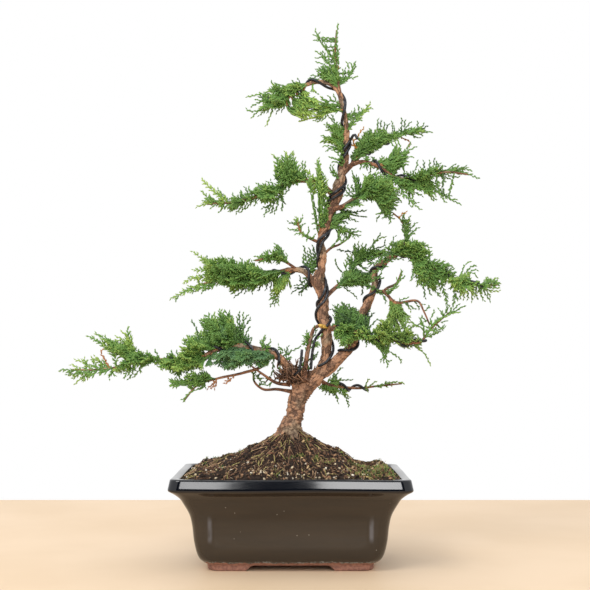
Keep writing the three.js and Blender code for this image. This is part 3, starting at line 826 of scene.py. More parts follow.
@dataclass
class Pot:
    """The glazed rectangular pot on four corner feet. Profiles are (distance in, height) in mm."""

    half_length: float = 104
    half_depth: float = 79
    rim_corner: float = 9
    base_corner: float = 12
    base_inset: float = 32
    around: int = 256
    even_marks: tuple = (0, 0.25, 0.6, 0.85, 1)
    crowded_marks: tuple = (0, 0.30, 0.48, 0.70, 1)
    foot_gap_length: float = 33
    foot_gap_depth: float = 20
    foot_slope: float = 6
    hole_radius: float = 8
    hole_offset: float = 36
    drill_height: float = 8
    drill_length: float = 30
    panel_half: tuple[float, float] = (69.0, 44.0)
    panel_bottom: float = 20.5
    panel_top: float = 53.0
    panel_corner: float = 11.0
    panel_depth: float = 1.5
    panel_edge: tuple[float, float] = (-3.4, 0.4)
    panel_top_fade: float = 9
    panel_bottom_fade: float = 12
    middle_inset: float = 60
    floor_height: float = 5
    floor_inset: float = 47.5
    floor_top: float = 12.5
    foot: tuple = (
        (46, 4.4), (45.6, 1.2), (45.0, 0.25), (44.0, 0.0), (39, 0.0), (33.3, 0.0), (32.3, 0.3), (31.8, 1.2),
        (31.55, 3.0),
    )
    wall: tuple = (
        (31.4, 5.0), (26.2, 9.0), (23.5, 13.7), (20.6, 26.0), (19.0, 40.0), (17.0, 49.0),
        (12.3, 58.6), (9.3, 63.6), (4.4, 68.0), (1.2, 70.1),
    )
    rim: tuple = (
        (0.45, 70.7), (0.05, 71.5), (0.0, 72.4), (0.5, 74.7), (1.0, 77.2), (1.45, 79.4), (1.75, 80.3),
        (2.3, 80.8), (3.2, 81.0), (5.4, 81.05), (7.4, 81.0), (8.5, 80.7), (9.1, 80.1), (9.4, 79.0),
    )
    inside: tuple = ((11.0, 71.0), (17.0, 63.0), (23.0, 51.0), (26.0, 34.0), (28.0, 20.0), (33.0, 12.5))
    ring_step: float = 2.1

    def outline(self, inset: float) -> RoundedRectangle:
        """The pot's level outline, a distance in from its widest line."""
        corner = blend(self.rim_corner, self.base_corner, inset / self.base_inset)
        return RoundedRectangle(self.half_length - inset, self.half_depth - inset, max(corner, 0.1))

    def _crowded(self, shares: np.ndarray) -> np.ndarray:
        """Even shares of a quarter turn, moved closer together where its corner is."""
        return np.interp(shares, self.even_marks, self.crowded_marks)

    def _shares(self) -> np.ndarray:
        """Where the points of a ring stand.

        Returns:
            Their places in quarter turns.
        """
        each = self.around // 4
        steps = np.arange(each) / each
        even, odd = self._crowded(steps), 1 - self._crowded(1 - steps)
        return np.concatenate([even, 1 + odd, 2 + even, 3 + odd])

    def _ring(self, inset: float, height: float) -> np.ndarray:
        """One level ring of points."""
        level = self.outline(inset).points(self._shares())
        return np.concatenate([level, np.full((self.around, 1), height)], axis=1)

    def _pole(self, height: float) -> np.ndarray:
        """A ring whose points are all one place, on the pot's axis."""
        return np.tile((0.0, 0.0, height), (self.around, 1))

    def _foot_ring(self, inset: float, height: float) -> np.ndarray:
        """A ring under the floor that dips to a height at the feet and stays up in the gaps.

        Args:
            inset: Its distance in from the pot's widest line.
            height: Its height at the feet.

        Returns:
            The ring's points.
        """
        ring = self._ring(inset, height)
        length_gap, depth_gap = self.foot_gap_length, self.foot_gap_depth
        over_length = smoothstep(np.abs(ring[:, 0]), length_gap, length_gap + self.foot_slope)
        over_depth = smoothstep(np.abs(ring[:, 1]), depth_gap, depth_gap + self.foot_slope)
        ring[:, 2] = blend(self.floor_height - 0.1, height, over_length * over_depth)
        return ring

    def _panel(self, ring: np.ndarray) -> np.ndarray:
        """Presses the shallow panels into the four walls.

        Args:
            ring: A ring of the outer wall.

        Returns:
            The same ring, its points moved in where a panel is.
        """
        x, y, z = ring.T
        middle = (self.panel_top + self.panel_bottom) / 2
        half_height = (self.panel_top - self.panel_bottom) / 2
        front = np.abs(y) / self.half_depth > np.abs(x) / self.half_length
        across = np.where(front, np.abs(x), np.abs(y))
        half = np.where(front, self.panel_half[0], self.panel_half[1])
        dx = across - (half - self.panel_corner)
        dz = np.abs(z - middle) - (half_height - self.panel_corner)
        outside = np.hypot(np.maximum(dx, 0), np.maximum(dz, 0)) + np.minimum(np.maximum(dx, dz), 0)
        pressed = self.panel_depth * (1 - smoothstep(outside - self.panel_corner, *self.panel_edge))
        pressed = pressed * (1 - smoothstep(z, self.panel_top - self.panel_top_fade, self.panel_top))
        risen = smoothstep(z, self.panel_bottom, self.panel_bottom + self.panel_bottom_fade)
        pressed = pressed * blend(0.3, 1, risen)
        ring[:, 0] -= np.where(front, 0, np.sign(x) * pressed)
        ring[:, 1] -= np.where(front, np.sign(y) * pressed, 0)
        return ring

    def _rows(self, profile: Sequence[tuple[float, float]]) -> list[tuple[float, float]]:
        """A profile's points with more between them, on a smooth curve.

        Args:
            profile: Its points as (inset, height).

        Returns:
            All points as (inset, height).
        """
        line = MiddleLine([(inset, 0, height) for inset, height in profile])
        steps = max(int(line.length / self.ring_step), 2)
        centres = line.frames(np.linspace(0, line.length, steps + 1))[0]
        return [(row[0], row[2]) for row in centres]

    def shape(self) -> bmesh.types.BMesh:
        """The pot's closed shell, from under the floor over the rim to the floor inside.

        Returns:
            The shell, slightly wavy towards the rim, before its drainage holes.
        """
        rings = [self._pole(self.floor_height)]
        rings += [self._ring(inset, self.floor_height) for inset in (self.middle_inset, self.floor_inset)]
        rings += [self._foot_ring(*row) for row in self.foot]
        rings += [self._panel(self._ring(*row)) for row in self._rows(self.wall)]
        rings += [self._ring(*row) for row in self.rim]
        rings += [self._ring(*row) for row in self._rows(self.inside)]
        rings += [self._ring(self.middle_inset, self.floor_top), self._pole(self.floor_top)]
        sections = np.stack(rings)
        wave = 0.35 * np.sin(sections[..., 0] * 0.045 + 0.6) + 0.2 * np.sin(sections[..., 1] * 0.07 + 1.0)
        sections[..., 2] += wave * smoothstep(sections[..., 2], 20, 70) * 0.8
        return skin(sections)

    def _drill(self) -> bpy.types.Object:
        """Two upright cylinders where the drainage holes are.

        Returns:
            A helper object that is removed after the cut.
        """
        bm = bmesh.new()
        for x in (-self.hole_offset, self.hole_offset):
            place = pot_to_frame() @ Matrix.Translation((x, 0, self.drill_height))
            bmesh.ops.create_cone(
                bm, cap_ends=True, segments=48, radius1=self.hole_radius, radius2=self.hole_radius,
                depth=self.drill_length, matrix=place,
            )
        mesh = bpy.data.meshes.new("drill")
        bm.to_mesh(mesh)
        bm.free()
        drill = bpy.data.objects.new("drill", mesh)
        bpy.context.scene.collection.objects.link(drill)
        return drill

    def build(self) -> None:
        """Adds the pot to the scene, and cuts its drainage holes into its own mesh."""
        piece = show_piece("glazed_pot", self.shape(), [Glaze().material()], Slot.CLAY, "pot")
        drill = self._drill()
        cut = piece.modifiers.new("holes", "BOOLEAN")
        cut.operation = "DIFFERENCE"
        cut.solver = "EXACT"
        cut.object = drill
        bpy.context.view_layer.update()
        evaluated = piece.evaluated_get(bpy.context.evaluated_depsgraph_get())
        result = bpy.data.meshes.new_from_object(evaluated)
        piece.modifiers.clear()
        piece.data = result
        bpy.data.objects.remove(drill)


@dataclass(frozen=True)
class Bark:
    """How rough a stem's bark is, in mm."""

    plate: float = 0.3
    plate_size: tuple[float, float] = (3.4, 5.0)
    lump: float = 0.25
    lump_size: float = 7.0
    fibre: float = 0.1

    def relief(self, place: Vector, along: float, turn: float, radius: float) -> tuple[float, Colour]:
        """The bark's height and tone at one place.

        Args:
            place: The place on the smooth stem.
            along: Its distance along the stem.
            turn: Its angle around the stem.
            radius: The stem's radius there.

        Returns:
            The height over the smooth stem, and the tone: height, chance and age from 0 to 1.
        """
        wide, tall = self.plate_size
        spot = Vector((math.cos(turn) * radius / wide, math.sin(turn) * radius / wide, along / tall))
        spot += noise.noise_vector(place * 0.21) * 0.5
        distances, centres = noise.voronoi(spot)
        edge = min(1.0, (distances[1] - distances[0]) / 0.3)
        chance = (noise.noise(centres[0] * 3.7) + 1) / 2
        raised = edge * (0.15 + 0.85 * smoothstep(chance, 0.3, 0.72))
        lump = noise.noise(place / self.lump_size)
        skin_place = (math.cos(turn) * radius * 1.3, math.sin(turn) * radius * 1.3, along * 0.16)
        fibre = noise.noise(Vector(skin_place))
        height = self.plate * raised + self.lump * lump + self.fibre * fibre
        age = (noise.noise(place * 0.06 + Vector((7.1, 2.3, 0.4))) + 1) / 2
        return height, (0.25 + 0.75 * raised, chance, age)


TRUNK_BARK = Bark(plate=1.7, plate_size=(3.7, 2.5), lump=1.2, lump_size=7.0, fibre=0.5)
LEADER_BARK = Bark(plate=0.85, plate_size=(3.0, 6.5), lump=0.6, lump_size=8.0, fibre=0.45)
BRANCH_BARK = Bark(plate=0.34, plate_size=(2.4, 5.0), lump=0.35, lump_size=6.0, fibre=0.2)
TWIG_BARK = Bark(plate=0.14, plate_size=(1.8, 4.0), lump=0.2, lump_size=5.0, fibre=0.1)


@dataclass(frozen=True)
class MixedBark(Bark):
    """Knobbly bark at the foot that turns into the leader's bark over a stretch of the trunk."""

    change: tuple[float, float] = (54.0, 80.0)

    def relief(self, place: Vector, along: float, turn: float, radius: float) -> tuple[float, Colour]:
        """The bark's height and tone at one place.

        Args:
            place: The place on the smooth stem.
            along: Its distance along the stem.
            turn: Its angle around the stem.
            radius: The stem's radius there.

        Returns:
            The height over the smooth stem, and the tone, as a plain bark has them.
        """
        share = float(smoothstep(along, *self.change))
        low, low_tone = TRUNK_BARK.relief(place, along, turn, radius)
        high, high_tone = LEADER_BARK.relief(place, along, turn, radius)
        tone = tuple(blend(a, b, share) for a, b in zip(low_tone, high_tone))
        return blend(low, high, share), tone


@dataclass(frozen=True)
class Stem:
    """One stem: points of its middle line from base to tip as (x, y, z, radius) in mm."""

    points: tuple
    sides: int = 12
    step: float = 1.6
    bark: Bark = TWIG_BARK
    slot: Slot = Slot.TWIG
    collar: float = 0.25

    def shape(self) -> bmesh.types.BMesh:
        """The stem as a closed tube with bark.

        Returns:
            The tube. Its tones are the bark's height, chance and age.
        """
        line = MiddleLine(self.points)
        count = max(int(line.length / self.step), 6)
        distances = np.linspace(0, line.length, count)
        distances = np.concatenate([[0], distances, [line.length]])
        radii = line.radius(distances) * (1 + self.collar * np.exp(-distances / 5))
        turns = np.arange(self.sides) / self.sides
        grid_distance = np.repeat(distances[:, None], self.sides, axis=1)
        grid_turn = np.repeat(turns[None], len(distances), axis=0)
        reach = np.repeat(radii[:, None], self.sides, axis=1)
        smooth = line.around(grid_distance, grid_turn, reach)
        tones = np.ones((*reach.shape, 4))
        for ring in range(1, len(distances) - 1):
            for side in range(self.sides):
                height, tone = self.bark.relief(
                    Vector(smooth[ring, side]), distances[ring], 2 * math.pi * turns[side], radii[ring]
                )
                reach[ring, side] += height * min(1.0, radii[ring] / 2.5)
                tones[ring, side, :3] = tone
        reach[0] = 0
        reach[-1] = 0
        sections = line.around(grid_distance, grid_turn, reach)
        tip = line.frames(np.array([line.length]))[1][0]
        sections[-1] += tip * radii[-1] * 0.7
        return skin(sections, tones)


STEMS: dict[str, Stem] = {
    "trunk": Stem(
        points=(
            (-1, 0, 92, 12.4), (-1, 0, 118, 10), (2.6, 0, 129, 7.2), (4.8, 0, 138, 7), (7.4, 0, 149, 8),
            (13, 0, 158, 9), (22, -1, 165, 6.8), (29, -2, 174, 5.2), (32, -2, 186, 4.3), (32, 0, 207, 4.6),
            (29, 2, 225, 5), (30, 3, 236, 4.2), (27, 3, 247, 4.6), (25, 2, 255, 5.2), (28, 1, 265, 3.2),
            (29, 0, 278, 2.8), (27, -2, 290, 3.2), (32, -3, 303, 3.3), (36, -2, 317, 3.5), (41, 0, 329, 5),
            (44, 1, 343, 4.4), (47, 2, 353, 3.6), (50, 3, 365, 2.7), (50, 3, 378, 2.8), (51, 2, 391, 2.5),
            (50, 1, 403, 2), (47, 0, 415, 1.9), (44, 0, 427, 1.8), (38, -1, 433, 1.6), (25, -3, 436, 1.5),
            (12, -5, 432, 1.4), (1, -7, 424, 1.2), (-7, -9, 416, 1), (-15, -10, 414, 0.8),
        ),
        sides=44, step=1.0, bark=MixedBark(), slot=Slot.BARK, collar=0,
    ),
    "right_leader": Stem(
        points=(
            (20, -1, 165, 5.7), (33, -2, 173, 5.2), (44, -4, 183, 4.4), (54, -6, 193, 3.8),
            (58, -8, 208, 3.6), (64, -9, 222, 3.3), (71, -10, 236, 3), (76, -10, 248, 2.8),
            (77, -9, 264, 2.4), (86, -10, 271, 2.1), (101, -12, 278, 1.9), (116, -16, 271, 1.7),
            (134, -20, 261, 1.4), (149, -24, 252, 1.1), (166, -27, 248, 0.9), (183, -29, 248, 0.7),
        ),
        sides=26, step=1.2, bark=LEADER_BARK, slot=Slot.BARK,
    ),
    "central_stem": Stem(
        points=(
            (12, -8, 162, 2.2), (14, -10, 183, 2), (17, -10, 197, 1.9), (21, -9, 210, 1.6),
            (25, -8.6, 212.4, 1.5),
        ),
    ),
    "left_lower_branch": Stem(
        points=(
            (8, 0, 156, 4), (0, -4, 166, 3.8), (-7, -8, 181, 3.4), (-17, -10, 187, 3.2),
            (-31, -12, 191, 2.9), (-46, -14, 194, 2.6), (-62, -16, 192, 2.3), (-76, -18, 186, 2),
            (-92, -20, 181, 1.8), (-117, -22, 182, 1.4), (-138, -24, 183, 1.2), (-152, -25, 176, 1),
            (-173, -26, 173, 0.9), (-194, -27, 173, 0.7),
        ),
        sides=20, step=1.3, bark=BRANCH_BARK, slot=Slot.BARK,
    ),
    "left_arched_twig": Stem(
        points=(
            (-1, -3, 159, 1.5), (-13, -9, 161, 1.4), (-24, -14, 168, 1.1), (-35, -18, 176, 0.7),
        ),
    ),
    "left_low_twig": Stem(
        points=(
            (0, -1, 153, 1.5), (-13, -1, 155, 1.3), (-25, -3, 155, 1.1), (-33, -6, 162, 0.9),
            (-34, -8, 170, 0.7),
        ),
    ),
    "left_under_branch": Stem(
        points=(
            (-19, -10, 187, 1.6), (-26, -15, 176, 1.4), (-43, -19, 170, 1.2), (-66, -23, 165, 1),
            (-83, -27, 159, 0.8), (-94, -30, 146, 0.7),
        ),
    ),
    "left_middle_branch": Stem(
        points=(
            (27, 3, 243, 3), (19, 3, 255, 2.7), (11, 5, 263, 2.4), (-3, 8, 264, 2.2), (-18, 12, 260, 1.9),
            (-38, 16, 257, 1.6), (-62, 20, 256, 1.2), (-87, 24, 251, 0.8),
        ),
        sides=18, step=1.3, bark=BRANCH_BARK, slot=Slot.BARK,
    ),
    "left_middle_upper_twig": Stem(
        points=(
            (6, 6, 264, 1.3), (-5, 2, 271, 1.1), (-19, -6, 274, 0.9), (-32, -12, 271, 0.7),
        ),
    ),
    "left_sprig_stem": Stem(
        points=(
            (27, -2, 288, 1.4), (17, -6, 292, 1.2), (9, -10, 297, 0.9), (6, -14, 306, 0.7),
        ),
    ),
    "left_upper_branch": Stem(
        points=(
            (40, 0, 331, 2.5), (31, -2, 339, 2.3), (20, -4, 344, 2.1), (5, -6, 344, 1.9),
            (-10, -9, 338, 1.7), (-30, -12, 330, 1.3), (-51, -14, 324, 1), (-75, -16, 322, 0.7),
        ),
        sides=14,
    ),
    "top_shoot": Stem(
        points=(
            (45, 0, 425, 1.6), (43, 0, 440, 1.3), (41, 1, 457, 1.1), (41, 1, 471, 0.9), (42, 0, 485, 0.7),
        ),
    ),
    "right_upper_branch": Stem(
        points=(
            (48, 2, 353, 2.4), (55, 5, 360, 2.2), (65, 9, 371, 1.9), (81, 14, 380, 1.5), (98, 18, 390, 1.1),
            (121, 22, 395, 0.7),
        ),
        sides=14,
    ),
    "right_upper_front_branch": Stem(
        points=(
            (56, 5, 361, 1.8), (66, 0, 363, 1.7), (81, -6, 357, 1.5), (97, -12, 346, 1.3),
            (118, -18, 347, 1.1), (139, -23, 350, 0.9), (158, -27, 347, 0.7),
        ),
    ),
    "right_inner_branch": Stem(
        points=(
            (37, -2, 318, 2.2), (47, -8, 321, 1.9), (59, -14, 328, 1.5), (68, -19, 329, 1.2),
            (78, -24, 325, 0.7),
        ),
        sides=14,
    ),
    "right_middle_twig": Stem(
        points=(
            (29, 0, 277, 1.3), (37, 1, 284, 1.1), (44, 4, 287, 0.9), (54, 8, 294, 0.7),
        ),
    ),
    "right_middle_branch": Stem(
        points=(
            (29, 3, 237, 2.3), (39, 7, 246, 1.9), (51, 13, 257, 1.6), (62, 22, 272, 1.2),
            (80, 28, 284, 0.7),
        ),
        sides=14,
    ),
    "right_outer_twig": Stem(
        points=(
            (74, -10, 244, 1.8), (84, -14, 242, 1.5), (94, -19, 233, 1.3), (113, -24, 234, 1),
            (118, -27, 225, 0.8), (123, -28, 213, 0.7),
        ),
    ),
    "right_back_twig": Stem(
        points=(
            (83, -13, 243, 1.3), (88, -4, 247, 1.2), (97, 6, 252, 1), (102, 12, 263, 0.7),
        ),
    ),
    "right_tuft_stem": Stem(
        points=(
            (100, -12, 277, 1.4), (104, -8, 292, 1.1), (101, -6, 307, 0.8), (93, -5, 315, 0.7),
        ),
    ),
    "right_lower_branch": Stem(
        points=(
            (32, 0, 210, 2.4), (46, -12, 209, 2.2), (66, -23, 203, 1.9), (84, -28, 201, 1.6),
            (100, -33, 197, 1.4), (114, -36, 198, 1.2), (123, -37, 209, 0.9), (139, -36, 223, 0.7),
        ),
        sides=14,
    ),
    "lowest_right_branch": Stem(
        points=(
            (25, 2, 164, 1.8), (34, 12, 159, 1.6), (50, 22, 156, 1.3), (64, 30, 155, 1.1),
            (82, 35, 157, 0.9), (104, 38, 159, 0.7),
        ),
    ),
}

LINES = {name: MiddleLine(stem.points) for name, stem in STEMS.items()}


@dataclass
class TrunkFoot:
    """The roots around the trunk's foot, each by its compass angle, reach and radius."""

    axis: float = -1.0
    roots: tuple = (
        (-70, 40, 4.2), (-12, 46, 4.2), (38, 38, 3.8), (98, 36, 4.4), (160, 42, 4.0), (208, 48, 4.8),
    )

    def root(self, angle: float, reach: float, radius: float) -> bmesh.types.BMesh:
        """A root that leaves the foot, shows as a ridge and dives.

        Args:
            angle: Its compass angle in degrees.
            reach: How far out it dives.
            radius: Its radius where it leaves the foot.

        Returns:
            The root as a closed tube.
        """
        turn = math.radians(angle)
        rows = ((0, 119, 1), (9, 114, 1), (0.5 * reach, 101, 0.62), (0.8 * reach, 90, 0.45), (reach, 70, 0.3))
        points = tuple(
            (away * math.cos(turn) + self.axis, away * math.sin(turn), height, share * radius)
            for away, height, share in rows
        )
        return Stem(points=points, sides=14, step=1.4, bark=BRANCH_BARK, collar=0).shape()


@dataclass
class DeadTwigs:
    """The dark tangle of short dead twigs in the fork."""

    count: int = 210
    middle: Place = (2.0, -6.0, 166.0)
    spread: Place = (13.0, 5.0, 8.0)
    leans: tuple = ((-0.2, 0.7), (-0.45, 0.6), (0.75, 0.5))
    seed: int = 11
    tone: Colour = (0.34, 0.4, 0.3)

    def add(self, pile: Pile) -> None:
        """Puts the twigs into a pile.

        Args:
            pile: Where they go.
        """
        chance = random.Random(self.seed)
        stalk = smooth_shape(3, 4)
        for _ in range(self.count):
            base = np.array([chance.gauss(m, s * 0.5) for m, s in zip(self.middle, self.spread)])
            lean = unit(np.array([chance.gauss(*way) for way in self.leans]))
            reach = chance.uniform(5, 14)
            bend = np.array([chance.gauss(0, 2.2) for _ in range(3)])
            curve = (base, base + lean * reach * 0.5 + bend, base + lean * reach)
            shade = tuple(part * chance.uniform(0.5, 1.6) for part in self.tone)
            radius = chance.uniform(0.45, 1.0)
            pile.bend(stalk, curve, (radius, radius * 0.5), (shade, shade))


@dataclass(frozen=True)
class CutEnd:
    """The pale cut end of the central stem, where it leans on the trunk."""

    points: tuple = (
        (24.3, -8.7, 212.2, 1.5), (27.5, -7.8, 212.2, 1.8), (30.5, -6.4, 211.6, 1.7),
        (33.0, -4.5, 210.6, 1.2),
    )
    tone: Colour = (0.66, 0.42, 0.10)

    def build(self) -> None:
        """Adds the cut end to the scene."""
        bm = Stem(points=self.points, sides=10, step=0.9, collar=0).shape()
        layer = bm.verts.layers.float_color[TONE]
        for vert in bm.verts:
            vert[layer] = (*self.tone, 1)
        finish = TintedFinish("cut_wood", mottle_size=1.8, depth=0.15, roughness=0.6)
        show_piece("central_stem_cut_end", bm, [finish.material()], Slot.TWIG)


@dataclass
class Wood:
    """All stems of the tree."""

    foot: TrunkFoot = field(default_factory=TrunkFoot)
    twigs: DeadTwigs = field(default_factory=DeadTwigs)

    def _trunk(self) -> bmesh.types.BMesh:
        """The trunk with its roots and the dead twigs of the fork.

        Returns:
            All of them in one bmesh.
        """
        pile = Pile()
        pile.include(STEMS["trunk"].shape())
        for root in self.foot.roots:
            pile.include(self.foot.root(*root))
        self.twigs.add(pile)
        return pile.bm

    def build(self) -> None:
        """Adds every stem to the scene."""
        finishes = {Slot.BARK: BARK_OLD.material(), Slot.TWIG: BARK_TWIG.material()}
        for name, stem in STEMS.items():
            shape = self._trunk() if name == "trunk" else stem.shape()
            show_piece(f"{name}_wood", shape, [finishes[stem.slot]], stem.slot, name)
        CutEnd().build()


@dataclass(frozen=True)
class Winding:
    """A wire on a stem: keys of (distance along the stem, turns from its front) and free ends."""

    stem: str
    keys: tuple
    lead: tuple = ()
    tail: tuple = ()

    def points(self, radius: float, seat: float, steps: int) -> np.ndarray:
        """The wire's middle line, on the bark.

        Args:
            radius: The wire's radius.
            seat: How far the bark stands over the smooth stem.
            steps: How many points a turn has.

        Returns:
            A row of points.
        """
        line = LINES[self.stem]
        places, turns = (np.array(row, float) for row in zip(*self.keys))
        count = max(int((turns[-1] - turns[0]) * steps), 2)
        turn = np.linspace(turns[0], turns[-1], count + 1)
        distance = np.interp(turn, turns, places)
        reach = line.radius(distance) + radius + seat
        coil = line.around(distance, turn, reach)
        parts = [np.array(part, float).reshape(-1, 3) for part in (self.lead, coil, self.tail)]
        return np.vstack(parts)


@dataclass
class Wires:
    """The training wires."""

    radius: float = 1.25
    seat: float = 0.45
    sides: int = 8
    steps_per_turn: int = 14
    step: float = 1.5
    windings: dict = field(default_factory=lambda: {
        "leader_wire": Winding("trunk", (
            (92, -0.12), (97, 0), (110, 0.25), (128, 0.5), (153, 1), (207, 2), (253, 3), (295, 4),
            (334, 5), (377, 6), (398, 7), (404, 7.25),
        )),
        "leader_second_wire": Winding(
            "trunk",
            ((124.5, -0.2), (129, 0), (159, 1), (213.8, 2), (259, 3), (301, 4), (306, 4.12)),
            lead=((18, -13, 173), (19, -13, 186), (21.5, -13, 199)),
            tail=((58, -5, 387), (61, -4, 383)),
        ),
        "left_lower_wire": Winding(
            "left_lower_branch",
            ((16, -0.9), (36, 0), (62, 1), (91, 2), (112, 3), (134, 4), (140, 4.3)),
            lead=((10, -13.5, 191), (9, -14, 181), (7, -14.5, 171)),
        ),
        "left_middle_wire": Winding(
            "left_middle_branch", ((9, -0.35), (18, 0), (48, 1), (72, 2), (90, 2.75)),
        ),
        "right_leader_wire": Winding("right_leader", (
            (34, -0.25), (42, 0), (70, 1), (97, 2), (109, 2.2), (122, 3), (144, 4), (166, 5), (197, 6),
            (224, 7), (228, 7.2),
        )),
        "right_lower_wire": Winding(
            "right_lower_branch", ((12, -0.25), (19, 0), (50, 1), (74, 2), (94, 3), (97, 3.2)),
        ),
        "right_upper_wire": Winding("right_upper_branch", ((14, -0.5), (28, 0), (48, 1), (60, 1.5))),
        "right_upper_front_wire": Winding(
            "right_upper_front_branch", ((20, -1.3), (44, -0.5), (60, 0), (76, 0.6)),
        ),
        "lowest_right_wire": Winding("lowest_right_branch", ((22, -0.5), (33, 0), (52, 1), (58, 1.25))),
    })

    def shape(self, winding: Winding) -> bmesh.types.BMesh:
        """One wire, cut square at both ends with a small worn edge.

        Args:
            winding: Its route.

        Returns:
            The wire as a closed tube.
        """
        line = MiddleLine(winding.points(self.radius, self.seat, self.steps_per_turn))
        distances = np.linspace(0.35, line.length - 0.35, max(int(line.length / self.step), 4))
        distances = np.concatenate([[0, 0, 0.12], distances, [line.length - 0.12] + [line.length] * 2])
        reach = np.full(len(distances), self.radius)
        reach[[0, -1]] = 0
        reach[[1, -2]] = self.radius * 0.78
        reach[[2, -3]] = self.radius * 0.93
        turns = np.arange(self.sides) / self.sides
        grid = np.meshgrid(distances, turns, indexing="ij")
        return skin(line.around(grid[0], grid[1], np.repeat(reach[:, None], self.sides, axis=1)))

    def build(self) -> None:
        """Adds the wires to the scene."""
        finish = WireFinish().material()
        for name, winding in self.windings.items():
            show_piece(f"{name}_wound", self.shape(winding), [finish], Slot.WIRE, name)


@dataclass(frozen=True)
class ReferenceView:
    """Turns pixels of the reference view into millimetres at a depth, and back."""

    eye: Place = (3.7, -1076.0, 188.0)
    tilt_up: float = 2.8
    middle: float = 295.0
    focal: float = 1182.0

    def place(self, pixel: Sequence[float], depth: float) -> np.ndarray:
        """Finds a place of the reference view.

        Args:
            pixel: Where it shows.
            depth: Its Y in mm.

        Returns:
            The place.
        """
        sine, cosine = math.sin(math.radians(self.tilt_up)), math.cos(math.radians(self.tilt_up))
        rise = (self.middle - pixel[1]) / self.focal
        away = depth - self.eye[1]
        up = away * (sine + rise * cosine) / (cosine - rise * sine)
        across = (pixel[0] - self.middle) / self.focal * (away * cosine + up * sine)
        return np.array((self.eye[0] + across, depth, self.eye[2] + up))

    def pixel(self, place: np.ndarray) -> tuple[float, float]:
        """Finds where a place shows.

        Args:
            place: The place.

        Returns:
            Its pixel.
        """
        sine, cosine = math.sin(math.radians(self.tilt_up)), math.cos(math.radians(self.tilt_up))
        across, away, up = place - np.array(self.eye)
        reach = away * cosine + up * sine
        return (
            self.middle + self.focal * across / reach,
            self.middle - self.focal * (up * cosine - away * sine) / reach,
        )


VIEW = ReferenceView()
Route = tuple[tuple[float, float], ...]


class Outline:
    """A closed outline in pixels of the reference view."""

    def __init__(self, corners: Route, overhang: float) -> None:
        """Keeps the outline.

        Args:
            corners: Its corners.
            overhang: How far outside them a place may still show.
        """
        self.overhang = overhang
        self.corners = np.array(corners, float)
        self.following = np.roll(self.corners, -1, axis=0)
        self.low = self.corners.min(axis=0)
        self.high = self.corners.max(axis=0)

    @property
    def area(self) -> float:
        """The outline's area in square pixels."""
        cross = self.corners[:, 0] * self.following[:, 1] - self.corners[:, 1] * self.following[:, 0]
        return abs(float(cross.sum())) / 2

    def inward(self, pixel: Sequence[float]) -> float:
        """Measures from a pixel to the outline.

        Args:
            pixel: The pixel.

        Returns:
            How far it lies inside the outline, or below 0 outside it.
        """
        point = np.array(pixel, float)
        edge = self.following - self.corners
        square = np.maximum(np.sum(edge * edge, axis=1), 1e-9)
        share = np.sum((point - self.corners) * edge, axis=1) / square
        nearest = self.corners + np.clip(share, 0, 1)[:, None] * edge
        gap = float(np.linalg.norm(nearest - point, axis=1).min())
        above = (self.corners[:, 1] > point[1]) != (self.following[:, 1] > point[1])
        rise = np.where(above, edge[:, 1], 1.0)
        crossing = self.corners[:, 0] + (point[1] - self.corners[:, 1]) / rise * edge[:, 0]
        inside = np.count_nonzero(above & (crossing > point[0])) % 2 == 1
        return gap if inside else -gap

    def holds(self, place: np.ndarray) -> bool:
        """Whether a place shows inside the outline, or no further outside than its overhang."""
        return self.inward(VIEW.pixel(place)) > -self.overhang


@dataclass(frozen=True)
class Tint:
    """How young, how blue and how brown some foliage is. Youth also paints light and shade: lower youth is
    painted darker, higher youth lighter.
    """

    youth: float = 0.5
    blue: float = 0.15
    brown: float = 0.0


GRASS = Tint()
# BRIGHT and DARK paint foliage lighter and darker through its youth, partly as painted light and shade.
BRIGHT = Tint(youth=0.78, blue=0.0)
DARK = Tint(youth=0.28, blue=0.3)
BLUISH = Tint(youth=0.42, blue=0.75)
OLIVE = Tint(youth=0.6, blue=0.0, brown=0.33)
RUSTY = Tint(youth=0.5, blue=0.0, brown=0.95)
BARE = Tint(youth=0.35, blue=0.0, brown=0.55)


@dataclass(frozen=True)
class Mass:
    """A dense part of a pad: an outline in the reference view, and its depth in mm."""

    outline: Route
    depth: float
    half: float
    tint: Tint = GRASS
    sweep: float = 0.62
    fullness: float = 1.0
    carriers: tuple[str, ...] = ()


@dataclass(frozen=True)
class Fronds:
    """Fronds of one kind that show by themselves: their routes in the view from foot to tip."""

    routes: tuple[Route, ...]
    reach: float = 2.4
    tint: Tint = GRASS


@dataclass(frozen=True)
class Pad:
    """One pad, spray or tuft: where it shows, how deep it is and which stems carry it."""

    node: str | None
    carriers: tuple[str, ...]
    depth: float
    masses: tuple[Mass, ...] = ()
    fronds: tuple[Fronds, ...] = ()
    spread: float = 4.0


